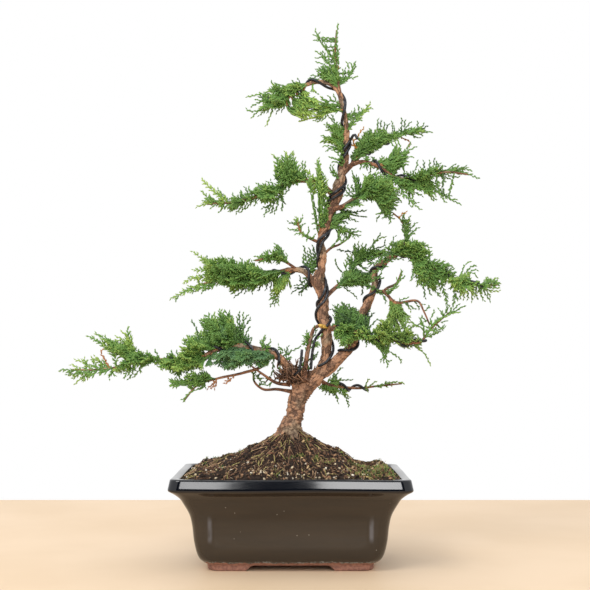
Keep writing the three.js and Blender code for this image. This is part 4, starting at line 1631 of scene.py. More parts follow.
class Sprayer:
    """Grows fronds of scaly shoots into a pile. Angles are in degrees, lengths in mm."""

    PAIR_LENGTH = 2.7
    SIDE_ANGLE = (37, 4)
    SMALL_ANGLE = (27, 4)
    FACING = ((0, 0.36), (-0.8, 0.32), (0.5, 0.34))
    SIDE_STEP = (1.5, 2.6)
    SIDE_RADIUS = (0.8, 1.0)
    SHORTEST = 2.8
    LEAST_BRANCHED = 3.8
    LONG = 6.2
    WOODY_TONE = 0.56

    def __init__(self, pile: Pile, chance: random.Random) -> None:
        """Keeps the pile and the random numbers, and makes the templates of shoots."""
        self.pile = pile
        self.chance = chance
        self.shoots = {pairs: scaly_shape(pairs) for pairs in (1, 2, 3, 4)}

    def _shoot(
        self, base: np.ndarray, lean: np.ndarray, forward: np.ndarray, reach: float, radius: float,
        tint: Tint, youth: tuple[float, float], flat: np.ndarray,
    ) -> None:
        """Adds one scaly shoot that curves forward.

        Args:
            base: Where it starts.
            lean: Its direction.
            forward: The direction that its tip curves to.
            reach: Its length.
            radius: Its radius at the base.
            tint: Its blue cast and its brown.
            youth: Its youth at the base and at the tip.
            flat: The direction that the frond faces.
        """
        middle = base + lean * reach * 0.55
        tip = base + unit(lean * 0.8 + forward * 0.3) * reach
        pairs = min(4, max(1, round(reach / self.PAIR_LENGTH)))
        tones = [(blend(*youth, share), tint.blue, tint.brown) for share in (0.0, 1.0)]
        self.pile.bend(self.shoots[pairs], (base, middle, tip), (radius, radius * 0.62), tones, flat)

    def _profile(self, share: float) -> float:
        """The side shoots' length along a frond."""
        return min(1.0, 0.5 + share / 0.3) * (1 - 0.6 * max(0.0, (share - 0.35) / 0.65))

    def frond(
        self, route: Sequence[np.ndarray], reach: float, tint: Tint,
        keep: Callable[[np.ndarray], bool] | None = None, woody: float = 0.3,
    ) -> None:
        """Grows a frond.

        Args:
            route: Places from its foot to its tip.
            reach: The length of its longest side shoots.
            tint: Its colour.
            keep: Says whether a shoot may end at a place.
            woody: The share of its length from the foot that has bark instead of leaves.
        """
        chance = self.chance
        line = MiddleLine(route)
        normal = unit(np.array([middle + chance.gauss(0, spread) for middle, spread in self.FACING]))
        youth = tint.youth + chance.gauss(0, 0.1)
        tint = Tint(youth, tint.blue + chance.gauss(0, 0.12), tint.brown)
        self._axis(line, tint, woody, normal)
        distance = max(1.0, line.length * 0.05) + chance.uniform(0, 2)
        sign = chance.choice((-1, 1))
        while distance < line.length - 0.6:
            share = distance / line.length
            centre, along, _, _ = (row[0] for row in line.frames(np.array([distance])))
            side = unit(np.cross(along, normal))
            angle = math.radians(chance.gauss(*self.SIDE_ANGLE))
            lean = along * math.cos(angle) + side * sign * math.sin(angle) + normal * chance.gauss(0, 0.14)
            length = max(self.SHORTEST, reach * self._profile(share) * chance.uniform(0.8, 1.3))
            self._side(centre, unit(lean), along, length, tint, share, normal, keep)
            distance += chance.uniform(*self.SIDE_STEP)
            sign = -sign

    def _axis(self, line: MiddleLine, tint: Tint, woody: float, normal: np.ndarray) -> None:
        """Adds the frond's own stem, in lengths that follow its line.

        Args:
            line: The frond's line.
            tint: Its colour.
            woody: The share of it that has bark.
            normal: The direction that the frond faces.
        """
        count = max(1, round(line.length / 7))
        marks = np.linspace(0, line.length, 2 * count + 1)
        centres = line.frames(marks)[0]
        thick = min(1.0, 0.68 + line.length / 90)
        for number in range(count):
            start, middle, end = centres[2 * number:2 * number + 3]
            shares = (number / count, (number + 1) / count)
            radii = tuple(thick * blend(1.0, 0.5, share) for share in shares)
            brown = self.WOODY_TONE if shares[1] <= woody + 0.001 else tint.brown
            youth = (tint.youth * blend(0.6, 1.0, shares[0]), tint.youth * blend(0.6, 1.2, shares[1]))
            tones = [(part, tint.blue, brown) for part in youth]
            curve = (start - (middle - start) * 0.12, 2 * middle - (start + end) / 2, end)
            self.pile.bend(self.shoots[3], curve, radii, tones, normal)

    def _side(
        self, base: np.ndarray, lean: np.ndarray, along: np.ndarray, length: float, tint: Tint,
        share: float, normal: np.ndarray, keep: Callable[[np.ndarray], bool] | None,
    ) -> None:
        """Adds a side shoot with its own small shoots.

        Args:
            base: Where it starts.
            lean: Its direction.
            along: The frond's direction there.
            length: Its length.
            tint: Its colour.
            share: How far along the frond it stands, from 0 to 1.
            normal: The direction that the frond faces.
            keep: Says whether a shoot may end at a place.
        """
        chance = self.chance
        if keep is not None and not keep(base + lean * length):
            length *= 0.55
            if not keep(base + lean * length):
                return
        young_and_lit = tint.youth * blend(0.55, 0.95, share)
        radius = chance.uniform(*self.SIDE_RADIUS)
        self._shoot(base, lean, along, length, radius, tint, (young_and_lit, young_and_lit + 0.32), normal)
        if length < self.LEAST_BRANCHED:
            return
        side = unit(np.cross(lean, normal))
        marks = (0.26, 0.46, 0.66) if length > self.LONG else (0.32, 0.6)
        sign = chance.choice((-1, 1))
        for mark in marks:
            foot = base + lean * length * mark * 0.96 + along * length * 0.1 * mark * mark
            angle = math.radians(chance.gauss(*self.SMALL_ANGLE))
            way = unit(lean * math.cos(angle) + side * sign * math.sin(angle) + normal * chance.gauss(0, 0.2))
            reach = length * blend(0.72, 0.42, mark) * chance.uniform(0.8, 1.2)
            sign = -sign
            if keep is None or keep(foot + way * reach):
                self._shoot(foot, way, lean, reach, radius * 0.86, tint, (young_and_lit + 0.1, young_and_lit + 0.5), normal)


@dataclass
class PadGrower:
    """Grows one pad from the stems that carry it."""

    pad: Pad
    seed: int
    density: float = 0.051
    tip_room: float = 0.3
    overhang: float = 1.8
    frond_fullness: float = 1.75
    blend_length: float = 30
    side_reach: tuple[float, float] = (5.0, 10.0)

    def __post_init__(self) -> None:
        """Gets the pad's random numbers, its pile and its sprayer."""
        self.chance = random.Random(self.seed)
        self.pile = Pile()
        self.sprayer = Sprayer(self.pile, self.chance)

    def _carrier(self, names: tuple[str, ...]) -> tuple[np.ndarray, np.ndarray]:
        """Places on the carrying stems and their directions."""
        rows = [LINES[name].frames(np.arange(3.0, LINES[name].length, 1.5))[:2] for name in names]
        return np.vstack([row[0] for row in rows]), np.vstack([row[1] for row in rows])

    def _foot(
        self, target: np.ndarray, sweep: float, names: tuple[str, ...]
    ) -> tuple[np.ndarray, np.ndarray]:
        """Finds the best place on the carrying stems for a frond.

        Args:
            target: Where the frond ends.
            sweep: How much it should run the way that its stem does.
            names: The stems.

        Returns:
            The place, and the stem's direction there.
        """
        places, ways = self._carrier(names)
        gaps = target - places
        reach = np.linalg.norm(gaps, axis=1)
        luck = np.array([self.chance.uniform(0, 3) for _ in reach])
        cost = reach - sweep * np.sum(gaps * ways, axis=1) + luck
        best = int(np.argmin(cost))
        return places[best], ways[best]

    def _fill(self, mass: Mass) -> None:
        """Fills a mass with fronds that sweep out from the stems.

        Args:
            mass: The mass.
        """
        outline = Outline(mass.outline, self.overhang)
        names = mass.carriers or self.pad.carriers
        count = round(outline.area * self.density * mass.fullness * (0.55 + mass.half / 22))
        done = 0
        while done < count:
            pixel = [self.chance.uniform(low, high) for low, high in zip(outline.low, outline.high)]
            room = outline.inward(pixel)
            if room < self.tip_room:
                continue
            done += 1
            limit = mass.half * min(1.0, 0.3 + room / 9)
            depth = mass.depth + limit * self.chance.uniform(-1.2, 0.8)
            target = VIEW.place(pixel, depth)
            foot, way = self._foot(target, mass.sweep, names)
            length = float(np.linalg.norm(target - foot))
            bend = foot + unit(way * 0.55 + unit(target - foot)) * length * 0.5
            shortest, longest = self.side_reach
            reach = min(longest, max(shortest, 0.38 * length)) * self.chance.uniform(0.85, 1.15)
            # Painted shade, partly older growth: fronds that end deep inside a mass or behind its middle get
            # a lower youth, so they are painted darker.
            older_and_shaded = 0.16 * min(1.0, room / 10) + (0.1 if depth > mass.depth + 4 else 0.0)
            tint = Tint(mass.tint.youth - older_and_shaded, mass.tint.blue, mass.tint.brown)
            self.sprayer.frond((foot, bend, target), reach, tint, outline.holds)

    def _single(self, pixels: Route, kind: Fronds) -> None:
        """Grows one frond along its own route, from the nearest carrying stem.

        Args:
            pixels: Its route in the reference view.
            kind: The fronds that it belongs to.
        """
        offset = self.chance.uniform(-self.pad.spread, self.pad.spread)
        first = VIEW.place(pixels[0], self.pad.depth)
        places, _ = self._carrier(self.pad.carriers)
        foot = places[int(np.argmin(np.linalg.norm(places - first, axis=1)))]
        count = len(pixels)
        gap = np.linalg.norm(foot - first)
        start = blend(foot[1], self.pad.depth + offset, min(1.0, gap / self.blend_length))
        depths = [blend(start, self.pad.depth + offset, (number + 1) / count) for number in range(count)]
        route = [VIEW.place(pixel, depth) for pixel, depth in zip(pixels, depths)]
        if np.linalg.norm(route[0] - foot) > 1.0:
            route.insert(0, foot)
        self.sprayer.frond(route, kind.reach * self.frond_fullness, kind.tint, woody=0.15)

    def grow(self) -> bmesh.types.BMesh:
        """Grows the whole pad.

        Returns:
            All its fronds in one bmesh.
        """
        for mass in self.pad.masses:
            self._fill(mass)
        for kind in self.pad.fronds:
            for route in kind.routes:
                self._single(route, kind)
        return self.pile.bm


LEFT_LOWER_PAD = Pad(
    node="left_lower_foliage", carriers=("left_lower_branch",), depth=-18,
    masses=(
        Mass(outline=(
            (186, 333), (186, 328), (190, 325), (197, 329), (202, 329), (200, 320), (205, 315), (214, 311),
            (222, 310), (229, 311), (234, 320), (235, 331), (228, 350), (215, 344), (205, 345), (195, 342),
            (188, 338),
        ), depth=-8, half=24, sweep=0.5, fullness=0.45),
        Mass(outline=(
            (216, 325), (226, 318), (234, 320), (236, 331), (240, 326), (247, 327), (253, 332), (258, 338),
            (265, 335), (270, 341), (267, 348), (262, 352), (255, 345), (245, 344), (235, 348), (222, 343),
        ), depth=-6, half=22, tint=BLUISH, sweep=0.3, fullness=0.5),
        Mass(outline=(
            (179, 341), (183, 336), (190, 337), (197, 343), (205, 346), (200, 350), (192, 353), (193, 360),
            (200, 362), (203, 368), (200, 372), (190, 370), (180, 371), (170, 370), (172, 365), (178, 362),
            (172, 357), (178, 352), (180, 347),
        ), depth=-32, half=15, tint=Tint(0.6, 0.0), fullness=0.85),
        Mass(outline=(
            (205, 366), (210, 360), (216, 355), (222, 352), (232, 352), (245, 352), (252, 356), (258, 352),
            (266, 352), (270, 358), (268, 365), (258, 369), (250, 367), (240, 368), (233, 371), (226, 370),
            (215, 368),
        ), depth=-26, half=14, tint=BLUISH),
        Mass(outline=(
            (113, 370), (118, 364), (120, 358), (126, 355), (131, 349), (138, 347), (141, 352), (150, 351),
            (156, 353), (160, 355), (168, 352), (173, 355), (171, 362), (176, 366), (180, 370), (172, 372),
            (162, 371), (155, 368), (150, 366), (140, 370), (134, 375), (128, 372), (120, 374),
        ), depth=-25, half=14, fullness=1.35),
    ),
    fronds=(
        Fronds(routes=(
            ((200, 344), (196, 328), (191, 320)), ((207, 335), (200, 320)),
            ((238, 342), (238, 330), (237, 316)), ((240, 335), (239, 312)), ((243, 335), (243, 312)),
            ((241, 330), (243, 322), (248, 315)), ((243, 330), (251, 318)), ((246, 334), (250, 326)),
        ), reach=1.6, tint=DARK),
        Fronds(routes=(
            ((224, 334), (221, 320), (219, 310)), ((216, 330), (209, 318), (205, 315)),
            ((216, 326), (214, 311)), ((231, 330), (230, 320), (229, 311)), ((262, 350), (265, 334)),
            ((265, 352), (271, 340)), ((225, 322), (223, 311)),
        )),
        Fronds(routes=(
            ((175, 358), (170, 350)), ((178, 357), (176, 350)), ((151, 359), (146, 350)),
            ((159, 358), (154, 349)),
        ), reach=1.6),
    ),
)
LEFT_LOWER_TIP_PAD = Pad(
    node="left_lower_tip_foliage", carriers=("left_lower_branch",), depth=-27,
    masses=(
        Mass(outline=(
            (101, 344), (105, 338), (110, 339), (116, 343), (124, 344), (130, 348), (134, 352), (130, 356),
            (122, 357), (116, 352), (110, 351), (103, 349),
        ), depth=-28, half=9, fullness=1.4),
        Mass(outline=(
            (109, 367), (118, 363), (126, 361), (135, 361), (135, 368), (126, 371), (120, 374), (113, 377),
            (111, 372),
        ), depth=-27, half=10, tint=BRIGHT, fullness=1.4),
    ),
    fronds=(
        Fronds(routes=(
            ((118, 368), (108, 369), (95, 371), (82, 372), (70, 370), (60, 369.5)),
            ((133, 357), (122, 356), (113, 350), (105, 346), (95, 340), (86, 335)),
            ((132, 352), (120, 346), (110, 341), (103, 338), (95, 333)),
            ((135, 355), (130, 346), (129, 338), (127, 328)),
        ), reach=4.2),
        Fronds(routes=(
            ((82, 372), (75, 366), (70, 364.5)), ((72, 371), (66, 375.5)), ((77, 372), (68, 376)),
            ((80, 373), (72, 379)), ((85, 372), (84, 378), (83, 381)), ((85, 376), (79, 380), (75, 384)),
            ((90, 371), (87, 379)), ((92, 370), (85, 364), (80, 361), (75, 360)), ((86, 365), (84, 358)),
            ((98, 370), (94, 365), (92, 357)), ((107, 366), (99, 362), (96, 360), (91, 359)),
            ((101, 362), (94, 356)), ((118, 347), (108, 348), (102, 343)), ((112, 349), (109, 354)),
            ((129, 344), (122, 339), (115, 336)), ((129, 340), (125, 334), (120, 331)),
            ((129, 345), (121, 341), (113, 340)), ((131, 346), (131.5, 340), (131, 335)),
        ), reach=2.6, tint=BRIGHT),
        Fronds(routes=(
            ((120, 368), (112, 372), (109, 379)), ((112, 374), (107, 375)),
            ((131, 370), (126, 374), (124, 380)), ((133, 371), (128, 380)),
            ((140, 369), (136, 374), (133, 378)),
        ), reach=2.4),
        Fronds(routes=(
            ((109, 367), (104, 358), (101, 353), (103, 349), (106, 348)),
        ), reach=0.0, tint=BARE),
        Fronds(routes=(((126, 357), (121, 352), (117, 350), (112, 347)),), reach=2.0, tint=RUSTY),
    ),
)
LEFT_UNDER_PAD = Pad(
    node="left_under_foliage", carriers=("left_under_branch",), depth=-27,
    masses=(
        Mass(outline=(
            (168, 373), (175, 369), (185, 371), (193, 369), (200, 367), (205, 370), (208, 374), (213, 376),
            (209, 381), (205, 386), (200, 389), (192, 386), (186, 382), (180, 381), (176, 386), (171, 387),
            (169, 382), (170, 377),
        ), depth=-27, half=13, carriers=("left_under_branch", "left_lower_branch")),
    ),
    fronds=(
        Fronds(routes=(((205, 387), (195, 390), (188, 394), (184, 400)),), reach=1.6),
        Fronds(routes=(
            ((182, 380), (173, 387)), ((184, 382), (178, 384), (176, 387)), ((195, 384), (190, 386)),
            ((205, 383), (200, 389)), ((186, 397), (182, 400)),
        )),
        Fronds(routes=(
            ((217, 380), (213, 384), (207, 389)), ((217, 381), (214, 389)), ((214, 383), (211, 390)),
            ((234, 376), (229, 381), (224, 384)), ((229, 381), (225, 380)),
        ), reach=1.2, tint=BARE),
    ),
)
LEFT_MIDDLE_PAD = Pad(
    node="left_middle_foliage", carriers=("left_middle_branch",), depth=12,
    masses=(
        Mass(outline=(
            (206, 258), (210, 259), (216, 256), (222, 257), (229, 258), (232, 258), (237, 262), (241, 258),
            (247, 260), (251, 260), (256, 265), (262, 270), (270, 272), (274, 270), (278, 273), (275, 279),
            (270, 282), (266, 286), (258, 288), (256, 291), (250, 292), (245, 293), (240, 289), (237, 292),
            (232, 294), (228, 289), (222, 285), (215, 284), (210, 281), (208, 272),
        ), depth=14, half=22),
        Mass(outline=(
            (283, 281), (288, 281), (286, 286), (281, 292), (278, 298), (277, 302), (270, 303), (268, 299),
            (271, 295), (271, 291), (276, 288),
        ), depth=2, half=7, tint=BRIGHT),
    ),
    fronds=(
        Fronds(routes=(
            ((230, 272), (220, 262), (214, 258)), ((232, 272), (226, 262), (222, 256)),
            ((237, 272), (233, 262), (229, 258)), ((239, 272), (235, 263), (232, 257)),
            ((246, 272), (243, 264), (241, 258)), ((252, 272), (249, 265), (247, 260)),
            ((258, 273), (255, 266), (251, 261)),
        ), reach=2.6),
        Fronds(routes=(
            ((248, 282), (240, 293), (234, 297)), ((240, 284), (236, 291), (231, 294.5)),
            ((247, 283), (245, 294)), ((255, 283), (252, 293)), ((262, 282), (258, 292)),
            ((268, 280), (266, 290)), ((272, 279), (270, 291)), ((276, 277), (275, 285)),
        ), reach=1.7, tint=DARK),
        Fronds(routes=(((288, 277), (281, 285), (276, 292), (272, 300)),), reach=4.5),
        Fronds(routes=(
            ((276, 297), (270, 306)), ((277, 297), (274, 306)), ((278, 297), (278, 305)),
            ((276, 296), (268, 300)), ((288, 279), (291, 289)), ((281, 287), (270, 292)),
            ((279, 291), (269, 294)),
        ), reach=1.8),
        Fronds(routes=(
            ((314, 279), (306, 287), (298, 289), (291, 293)), ((307, 287), (301, 291), (298, 295)),
            ((306, 287), (302, 292), (301, 295)), ((301, 288), (294, 287)),
            ((304, 286), (300, 279), (300, 276)), ((300, 285), (295, 285)),
            ((309, 284), (306, 279), (303, 277)), ((307, 286), (306, 291)),
        ), reach=1.8, tint=Tint(0.2, 0.0, 0.2)),
        Fronds(routes=(
            ((309, 273), (306, 260), (304, 245)), ((312, 271), (311, 255), (309, 247)),
            ((314, 268), (313, 245)), ((308, 271), (304, 263), (303, 256)), ((307, 270), (303, 261)),
            ((316, 264), (318, 247)), ((312, 272), (316, 256), (314, 250)),
            ((311, 272), (310, 262), (307, 252)),
        ), reach=2.6, tint=DARK),
    ),
)
LEFT_MIDDLE_TIP_PAD = Pad(
    node="left_middle_tip_foliage", carriers=("left_middle_branch",), depth=20,
    masses=(
        Mass(outline=(
            (199, 256), (205, 257), (210, 261), (214, 266), (214, 276), (207, 277), (202, 276), (200, 271),
            (203, 267), (202, 262),
        ), depth=18, half=9),
        Mass(outline=(
            (198, 281), (207, 279), (216, 279), (216, 284), (208, 286), (200, 290), (193, 292), (188, 290),
            (195, 287),
        ), depth=23, half=7, tint=BRIGHT),
    ),
    fronds=(
        Fronds(routes=(
            ((222, 272), (210, 263), (200, 257), (192, 251)), ((222, 273), (205, 270), (192, 270)),
            ((225, 279), (205, 278), (190, 279), (182, 284)),
            ((222, 281), (207, 286), (192, 290), (180, 294), (170, 299)),
        ), reach=3.6, tint=BRIGHT),
        Fronds(routes=(
            ((197, 278), (187, 277)), ((182, 293), (177, 298), (175, 302)),
            ((205, 286), (195, 291), (192, 293)), ((210, 285), (201, 293)), ((213, 284), (205, 290)),
            ((199, 288), (188, 286)), ((214, 268), (208, 260), (206, 255)), ((208, 274), (200, 276)),
        ), reach=2.2),
    ),
)
LEFT_MIDDLE_UPPER_PAD = Pad(
    node="left_middle_upper_foliage", carriers=("left_middle_upper_twig",), depth=-5,
    masses=(
        Mass(outline=(
            (255, 261), (258, 257), (262, 253), (268, 250), (272, 247), (275, 244), (280, 247), (284, 250),
            (288, 255), (285, 262), (278, 264), (270, 263), (262, 263),
        ), depth=-4, half=15, fullness=1.2),
    ),
    fronds=(
        Fronds(routes=(
            ((268, 259), (260, 259), (253, 261)), ((266, 258), (255, 256)),
            ((271, 259), (265, 253), (261, 254)), ((276, 260), (271, 252), (268, 250)),
            ((281, 260), (278, 250), (275, 243)), ((284, 260), (281, 250), (280, 246)),
            ((286, 262), (287, 254)),
        ), reach=2.4),
    ),
)
LEFT_SPRIG_PAD = Pad(
    node="left_sprig_foliage", carriers=("left_sprig_stem",), depth=-12,
    masses=(
        Mass(outline=(
            (294, 215), (299, 215), (302, 220), (300, 226), (304, 232), (312, 236), (317, 239), (308, 240),
            (302, 236), (296, 230), (294, 224),
        ), depth=-12, half=5, tint=BRIGHT),
    ),
    fronds=(
        Fronds(routes=(
            ((310, 238), (303, 234), (299, 228), (298, 220), (296, 216)),
        ), reach=3.0, tint=BRIGHT),
        Fronds(routes=(
            ((299, 223), (301, 220), (303, 216)), ((297, 225), (288, 222)), ((299, 228), (305, 223)),
            ((298, 231), (293, 230), (288, 229)), ((306, 236), (309, 231), (308, 227)),
            ((301, 233), (295, 234)), ((313, 239), (315, 233)), ((308, 238), (306, 241)),
        ), reach=1.8),
    ),
    spread=2.5,
)
LEFT_UPPER_PAD = Pad(
    node="left_upper_foliage", carriers=("left_upper_branch",), depth=-10,
    masses=(
        Mass(outline=(
            (228, 197), (236, 194), (240, 191), (246, 189), (250, 188), (256, 183), (262, 184), (268, 183),
            (272, 183), (276, 181), (282, 178), (295, 178), (302, 176), (308, 178), (306, 183), (300, 184),
            (293, 187), (288, 188), (284, 193), (281, 197), (276, 203), (272, 203), (265, 206), (262, 204),
            (255, 205), (250, 203), (245, 208), (240, 210), (235, 211), (230, 211), (226, 208),
        ), depth=-9, half=20),
        Mass(outline=(
            (273, 155), (279, 156), (283, 158), (285, 152), (291, 154), (296, 158), (300, 165), (304, 172),
            (303, 178), (297, 180), (290, 182), (283, 181), (277, 177), (275, 172), (274, 165), (274, 160),
        ), depth=-9, half=13, sweep=0.2),
    ),
    fronds=(
        Fronds(routes=(
            ((286, 172), (278, 160), (272, 154)), ((292, 170), (288, 158), (285, 151)),
            ((298, 172), (293, 156), (292, 150)), ((284, 167), (273, 162)), ((285, 173), (274, 170)),
            ((286, 178), (274, 178)),
        ), reach=3.0, tint=BRIGHT),
        Fronds(routes=(
            ((304, 180), (303, 170), (302, 161)), ((305, 180), (305, 168), (305, 161)),
            ((236, 200), (232, 193)), ((244, 198), (240, 191)), ((249, 196), (245, 187)),
            ((251, 194), (248, 186)), ((262, 190), (257, 183)), ((266, 189), (264, 184)),
            ((272, 188), (267, 181)), ((274, 187), (270, 180)), ((237, 206), (229, 212)),
            ((243, 205), (236, 213)), ((247, 204), (240, 213)), ((251, 202), (245, 210)),
            ((290, 187), (284, 195)), ((256, 203), (254, 207)),
        ), reach=1.8),
        Fronds(routes=(
            ((281, 195), (277, 200), (270, 204), (264, 216)), ((271, 204), (268, 213)),
            ((274, 202), (271, 214)), ((278, 200), (277, 207), (274, 213)),
            ((281, 196), (283, 202), (281, 212)), ((282, 200), (286, 205)), ((271, 205), (262, 208)),
        ), reach=2.2, tint=DARK),
    ),
)
LEFT_UPPER_TIP_PAD = Pad(
    node="left_upper_tip_foliage", carriers=("left_upper_branch",), depth=-15,
    masses=(
        Mass(outline=(
            (203, 203), (208, 199), (216, 197), (228, 197), (228, 209), (219, 209), (210, 207), (204, 207),
        ), depth=-15, half=11, tint=BRIGHT),
    ),
    fronds=(
        Fronds(routes=(
            ((227, 200), (221, 197), (212, 190), (201, 178)), ((220, 202), (208, 198), (201, 190)),
            ((225, 204), (210, 203), (196, 207)),
        ), reach=3.0, tint=BRIGHT),
        Fronds(routes=(
            ((227, 200), (221, 193), (217, 188)), ((224, 206), (219, 212)), ((215, 205), (211, 208)),
            ((212, 199), (203, 201)), ((222, 195), (214, 194)),
        ), reach=2.2),
    ),
)
APEX_PAD = Pad(
    node="apex_foliage", carriers=("trunk",), depth=-9,
    masses=(
        Mass(outline=(
            (258, 91), (262, 92), (267, 90), (271, 83), (275, 83), (278, 88), (284, 85), (290, 84),
            (293, 82), (300, 83), (303, 86), (296, 92), (290, 97), (286, 102), (283, 107), (278, 111),
            (272, 110), (267, 112), (262, 114), (258, 110), (260, 104), (262, 99), (258, 96),
        ), depth=-10, half=16, sweep=0.75),
        Mass(outline=(
            (300, 98), (306, 93), (312, 92), (320, 93), (322, 100), (322, 112), (322, 118), (316, 119),
            (308, 119), (302, 119), (297, 113), (297, 106),
        ), depth=-8, half=10, tint=BRIGHT, sweep=0.0, fullness=1.1),
    ),
    fronds=(
        Fronds(routes=(
            ((276, 97), (262, 94), (252, 96), (246, 97)), ((274, 101), (262, 101), (255, 99)),
            ((264, 101), (256, 104), (250, 107)), ((270, 105), (258, 111), (250, 111), (246, 109)),
            ((260, 110), (254, 115), (251, 119)), ((272, 107), (262, 113), (259, 116)),
        ), reach=2.4),
        Fronds(routes=(((275, 103), (271, 114), (266, 126)),), reach=1.6, tint=BRIGHT),
        Fronds(routes=(
            ((286, 104), (281, 112)), ((289, 101), (289, 110)), ((281, 106), (276, 113)),
            ((279, 93), (274, 86), (271, 81)), ((280, 91), (275, 82)), ((286, 91), (283, 84)),
            ((298, 86), (291, 80)), ((301, 86), (298, 79)),
        ), reach=1.9, tint=DARK),
        Fronds(routes=(
            ((341, 110), (333, 110), (326, 110), (315, 108), (305, 107), (297, 110)),
            ((340, 111), (331, 111), (325, 114), (312, 118), (300, 121)),
        ), reach=4.5, tint=BRIGHT),
        Fronds(routes=(
            ((320, 105), (310, 100), (304, 97)), ((312, 108), (303, 102), (296, 101)),
            ((318, 109), (306, 113), (296, 114)), ((326, 112), (319, 118), (314, 121)),
            ((328, 111), (321, 119), (317, 123)), ((330, 111), (326, 117), (321, 121)),
            ((335, 110), (328, 104), (322, 98)), ((337, 109), (332, 101), (328, 95)),
            ((339, 108), (336, 100), (333, 94)), ((334, 110), (331, 105), (325, 104)),
        ), reach=2.4),
    ),
)
TOP_PAD = Pad(
    node="top_foliage", carriers=("top_shoot",), depth=-1,
    masses=(
        Mass(outline=(
            (333, 60), (333, 52), (334, 46), (336, 42), (338, 45), (340, 50), (340, 62), (340, 70),
            (341, 78), (338, 86), (333, 86), (328, 80), (322, 80), (315, 80), (311, 79), (316, 74),
            (317, 69), (318, 65), (319, 63), (325, 64), (331, 67),
        ), depth=-1, half=9, sweep=0.7),
    ),
    fronds=(
        Fronds(routes=(((338, 70), (337, 50), (337, 35), (338, 22)),), reach=1.9),
        Fronds(routes=(
            ((335, 62), (328, 51), (322, 44), (318, 37), (315, 29)),
            ((335, 70), (328, 63), (322, 56), (317, 52), (315, 50)),
            ((338, 87), (343, 82), (348, 78), (352, 71), (355, 61)),
        ), reach=2.6),
        Fronds(routes=(
            ((320, 41), (314, 40)), ((318, 37), (313, 34)), ((319, 38), (319, 32)), ((324, 46), (322, 36)),
            ((327, 50), (325, 42)), ((323, 57), (315, 58.5)), ((330, 65), (328, 52)),
            ((327, 62), (324, 52)), ((324, 59), (322, 51)), ((331, 69), (323, 64), (316, 62)),
            ((328, 74), (321, 66)), ((331, 80), (322, 72), (316, 69)), ((331, 84), (320, 77), (311, 75)),
            ((326, 83), (314, 78), (307, 79)), ((335, 56), (332, 47), (330, 45)), ((337, 54), (339, 49)),
            ((349, 78), (354, 78), (358, 75)), ((347, 80), (349, 70), (347, 62)),
            ((350, 76), (352, 67), (350, 62)), ((344, 82), (345, 74), (345, 68)),
            ((342, 83), (343, 75), (343, 68)), ((353, 71), (356, 64)),
        ), reach=1.7),
        Fronds(routes=(((336, 66), (334, 58), (333, 51)),), reach=1.6, tint=OLIVE),
    ),
    spread=3.0,
)
UPPER_LEFT_SPRIG_PAD = Pad(
    node="upper_left_sprig_foliage", carriers=("trunk",), depth=-5,
    masses=(
        Mass(outline=(
            (327, 117), (330, 120), (332, 115), (335, 119), (340, 124), (341, 130), (341, 140), (341, 150),
            (343, 156), (341, 159), (337, 153), (334, 147), (330, 145), (325, 146), (322, 142), (323, 137),
            (327, 136), (330, 138), (333, 136), (330, 131), (327, 129), (326, 124), (328, 122),
        ), depth=-5, half=6, sweep=0.6, fullness=1.3),
    ),
    fronds=(
        Fronds(routes=(
            ((341, 138), (333, 126), (325, 125)), ((340, 132), (334, 121), (332, 114)),
            ((339, 129), (331, 119), (328, 116)), ((340, 136), (329, 130), (326, 131)),
            ((341, 144), (328, 138), (321, 135)), ((341, 146), (329, 141), (320, 142)),
            ((341, 149), (329, 146), (323, 146)), ((340, 151), (330, 148), (326, 152)),
            ((343, 160), (336, 152), (331, 149)), ((342, 162), (335, 159), (329, 157)),
            ((341, 165), (336, 162), (332, 162)), ((337, 176), (333, 171), (333, 165)),
            ((336, 177), (331, 171), (330, 165)),
        ), reach=2.4),
    ),
    spread=3.0,
)
UPPER_RIGHT_SPRIG_PAD = Pad(
    node="upper_right_sprig_foliage", carriers=("trunk",), depth=-4,
    fronds=(
        Fronds(routes=(
            ((349, 129), (355, 121), (360, 116), (366, 110), (371, 102)),
        ), reach=3.4, tint=BRIGHT),
        Fronds(routes=(
            ((352, 125), (353, 117), (355, 108)), ((351, 127), (351, 120), (352, 112)),
            ((358, 118), (359, 112), (358, 104)), ((361, 115), (362, 107)),
            ((363, 113), (368, 109), (372, 108)), ((353, 123), (357, 121), (361, 120)),
            ((366, 110), (367, 104)),
        ), reach=1.7),
    ),
    spread=2.0,
)
RIGHT_UPPER_PAD = Pad(
    node="right_upper_foliage", carriers=("right_upper_branch",), depth=14,
    masses=(
        Mass(outline=(
            (350, 160), (352, 150), (355, 143), (358, 136), (363, 133), (367, 132), (370, 128), (375, 130),
            (379, 126), (384, 127), (388, 131), (391, 133), (396, 130), (400, 129), (405, 128), (412, 127),
            (417, 127), (423, 128), (428, 130), (431, 132), (426, 134), (418, 135), (412, 134), (405, 136),
            (402, 140), (396, 140), (390, 141), (385, 144), (380, 149), (372, 153), (366, 155), (360, 156),
            (355, 157),
        ), depth=14, half=19, sweep=0.7),
    ),
    fronds=(
        Fronds(routes=(
            ((378, 132), (378, 119)), ((381, 132), (381, 119)), ((384, 131), (385, 122)),
            ((386, 131), (388, 125), (390, 123)), ((393, 134), (392, 122)), ((395, 134), (394, 126)),
            ((401, 133), (402, 118)), ((404, 132), (405, 119)), ((404, 132), (408, 125), (412, 121)),
            ((417, 130), (418, 121)), ((419, 130), (424, 124)), ((421, 130), (427, 126)),
        ), reach=1.5, tint=DARK),
        Fronds(routes=(
            ((415, 132), (425, 132), (433, 132)), ((412, 134), (416, 137), (420, 138)),
            ((418, 133), (424, 136)), ((372, 140), (366, 134), (364, 132)), ((374, 138), (370, 128)),
        ), reach=2.2),
        Fronds(routes=(((402, 138), (409, 141), (410, 143), (407, 149)),), reach=1.0, tint=BARE),
        Fronds(routes=(((353, 143), (358, 136), (361, 131), (364, 128)),), reach=2.6, tint=RUSTY),
    ),
)
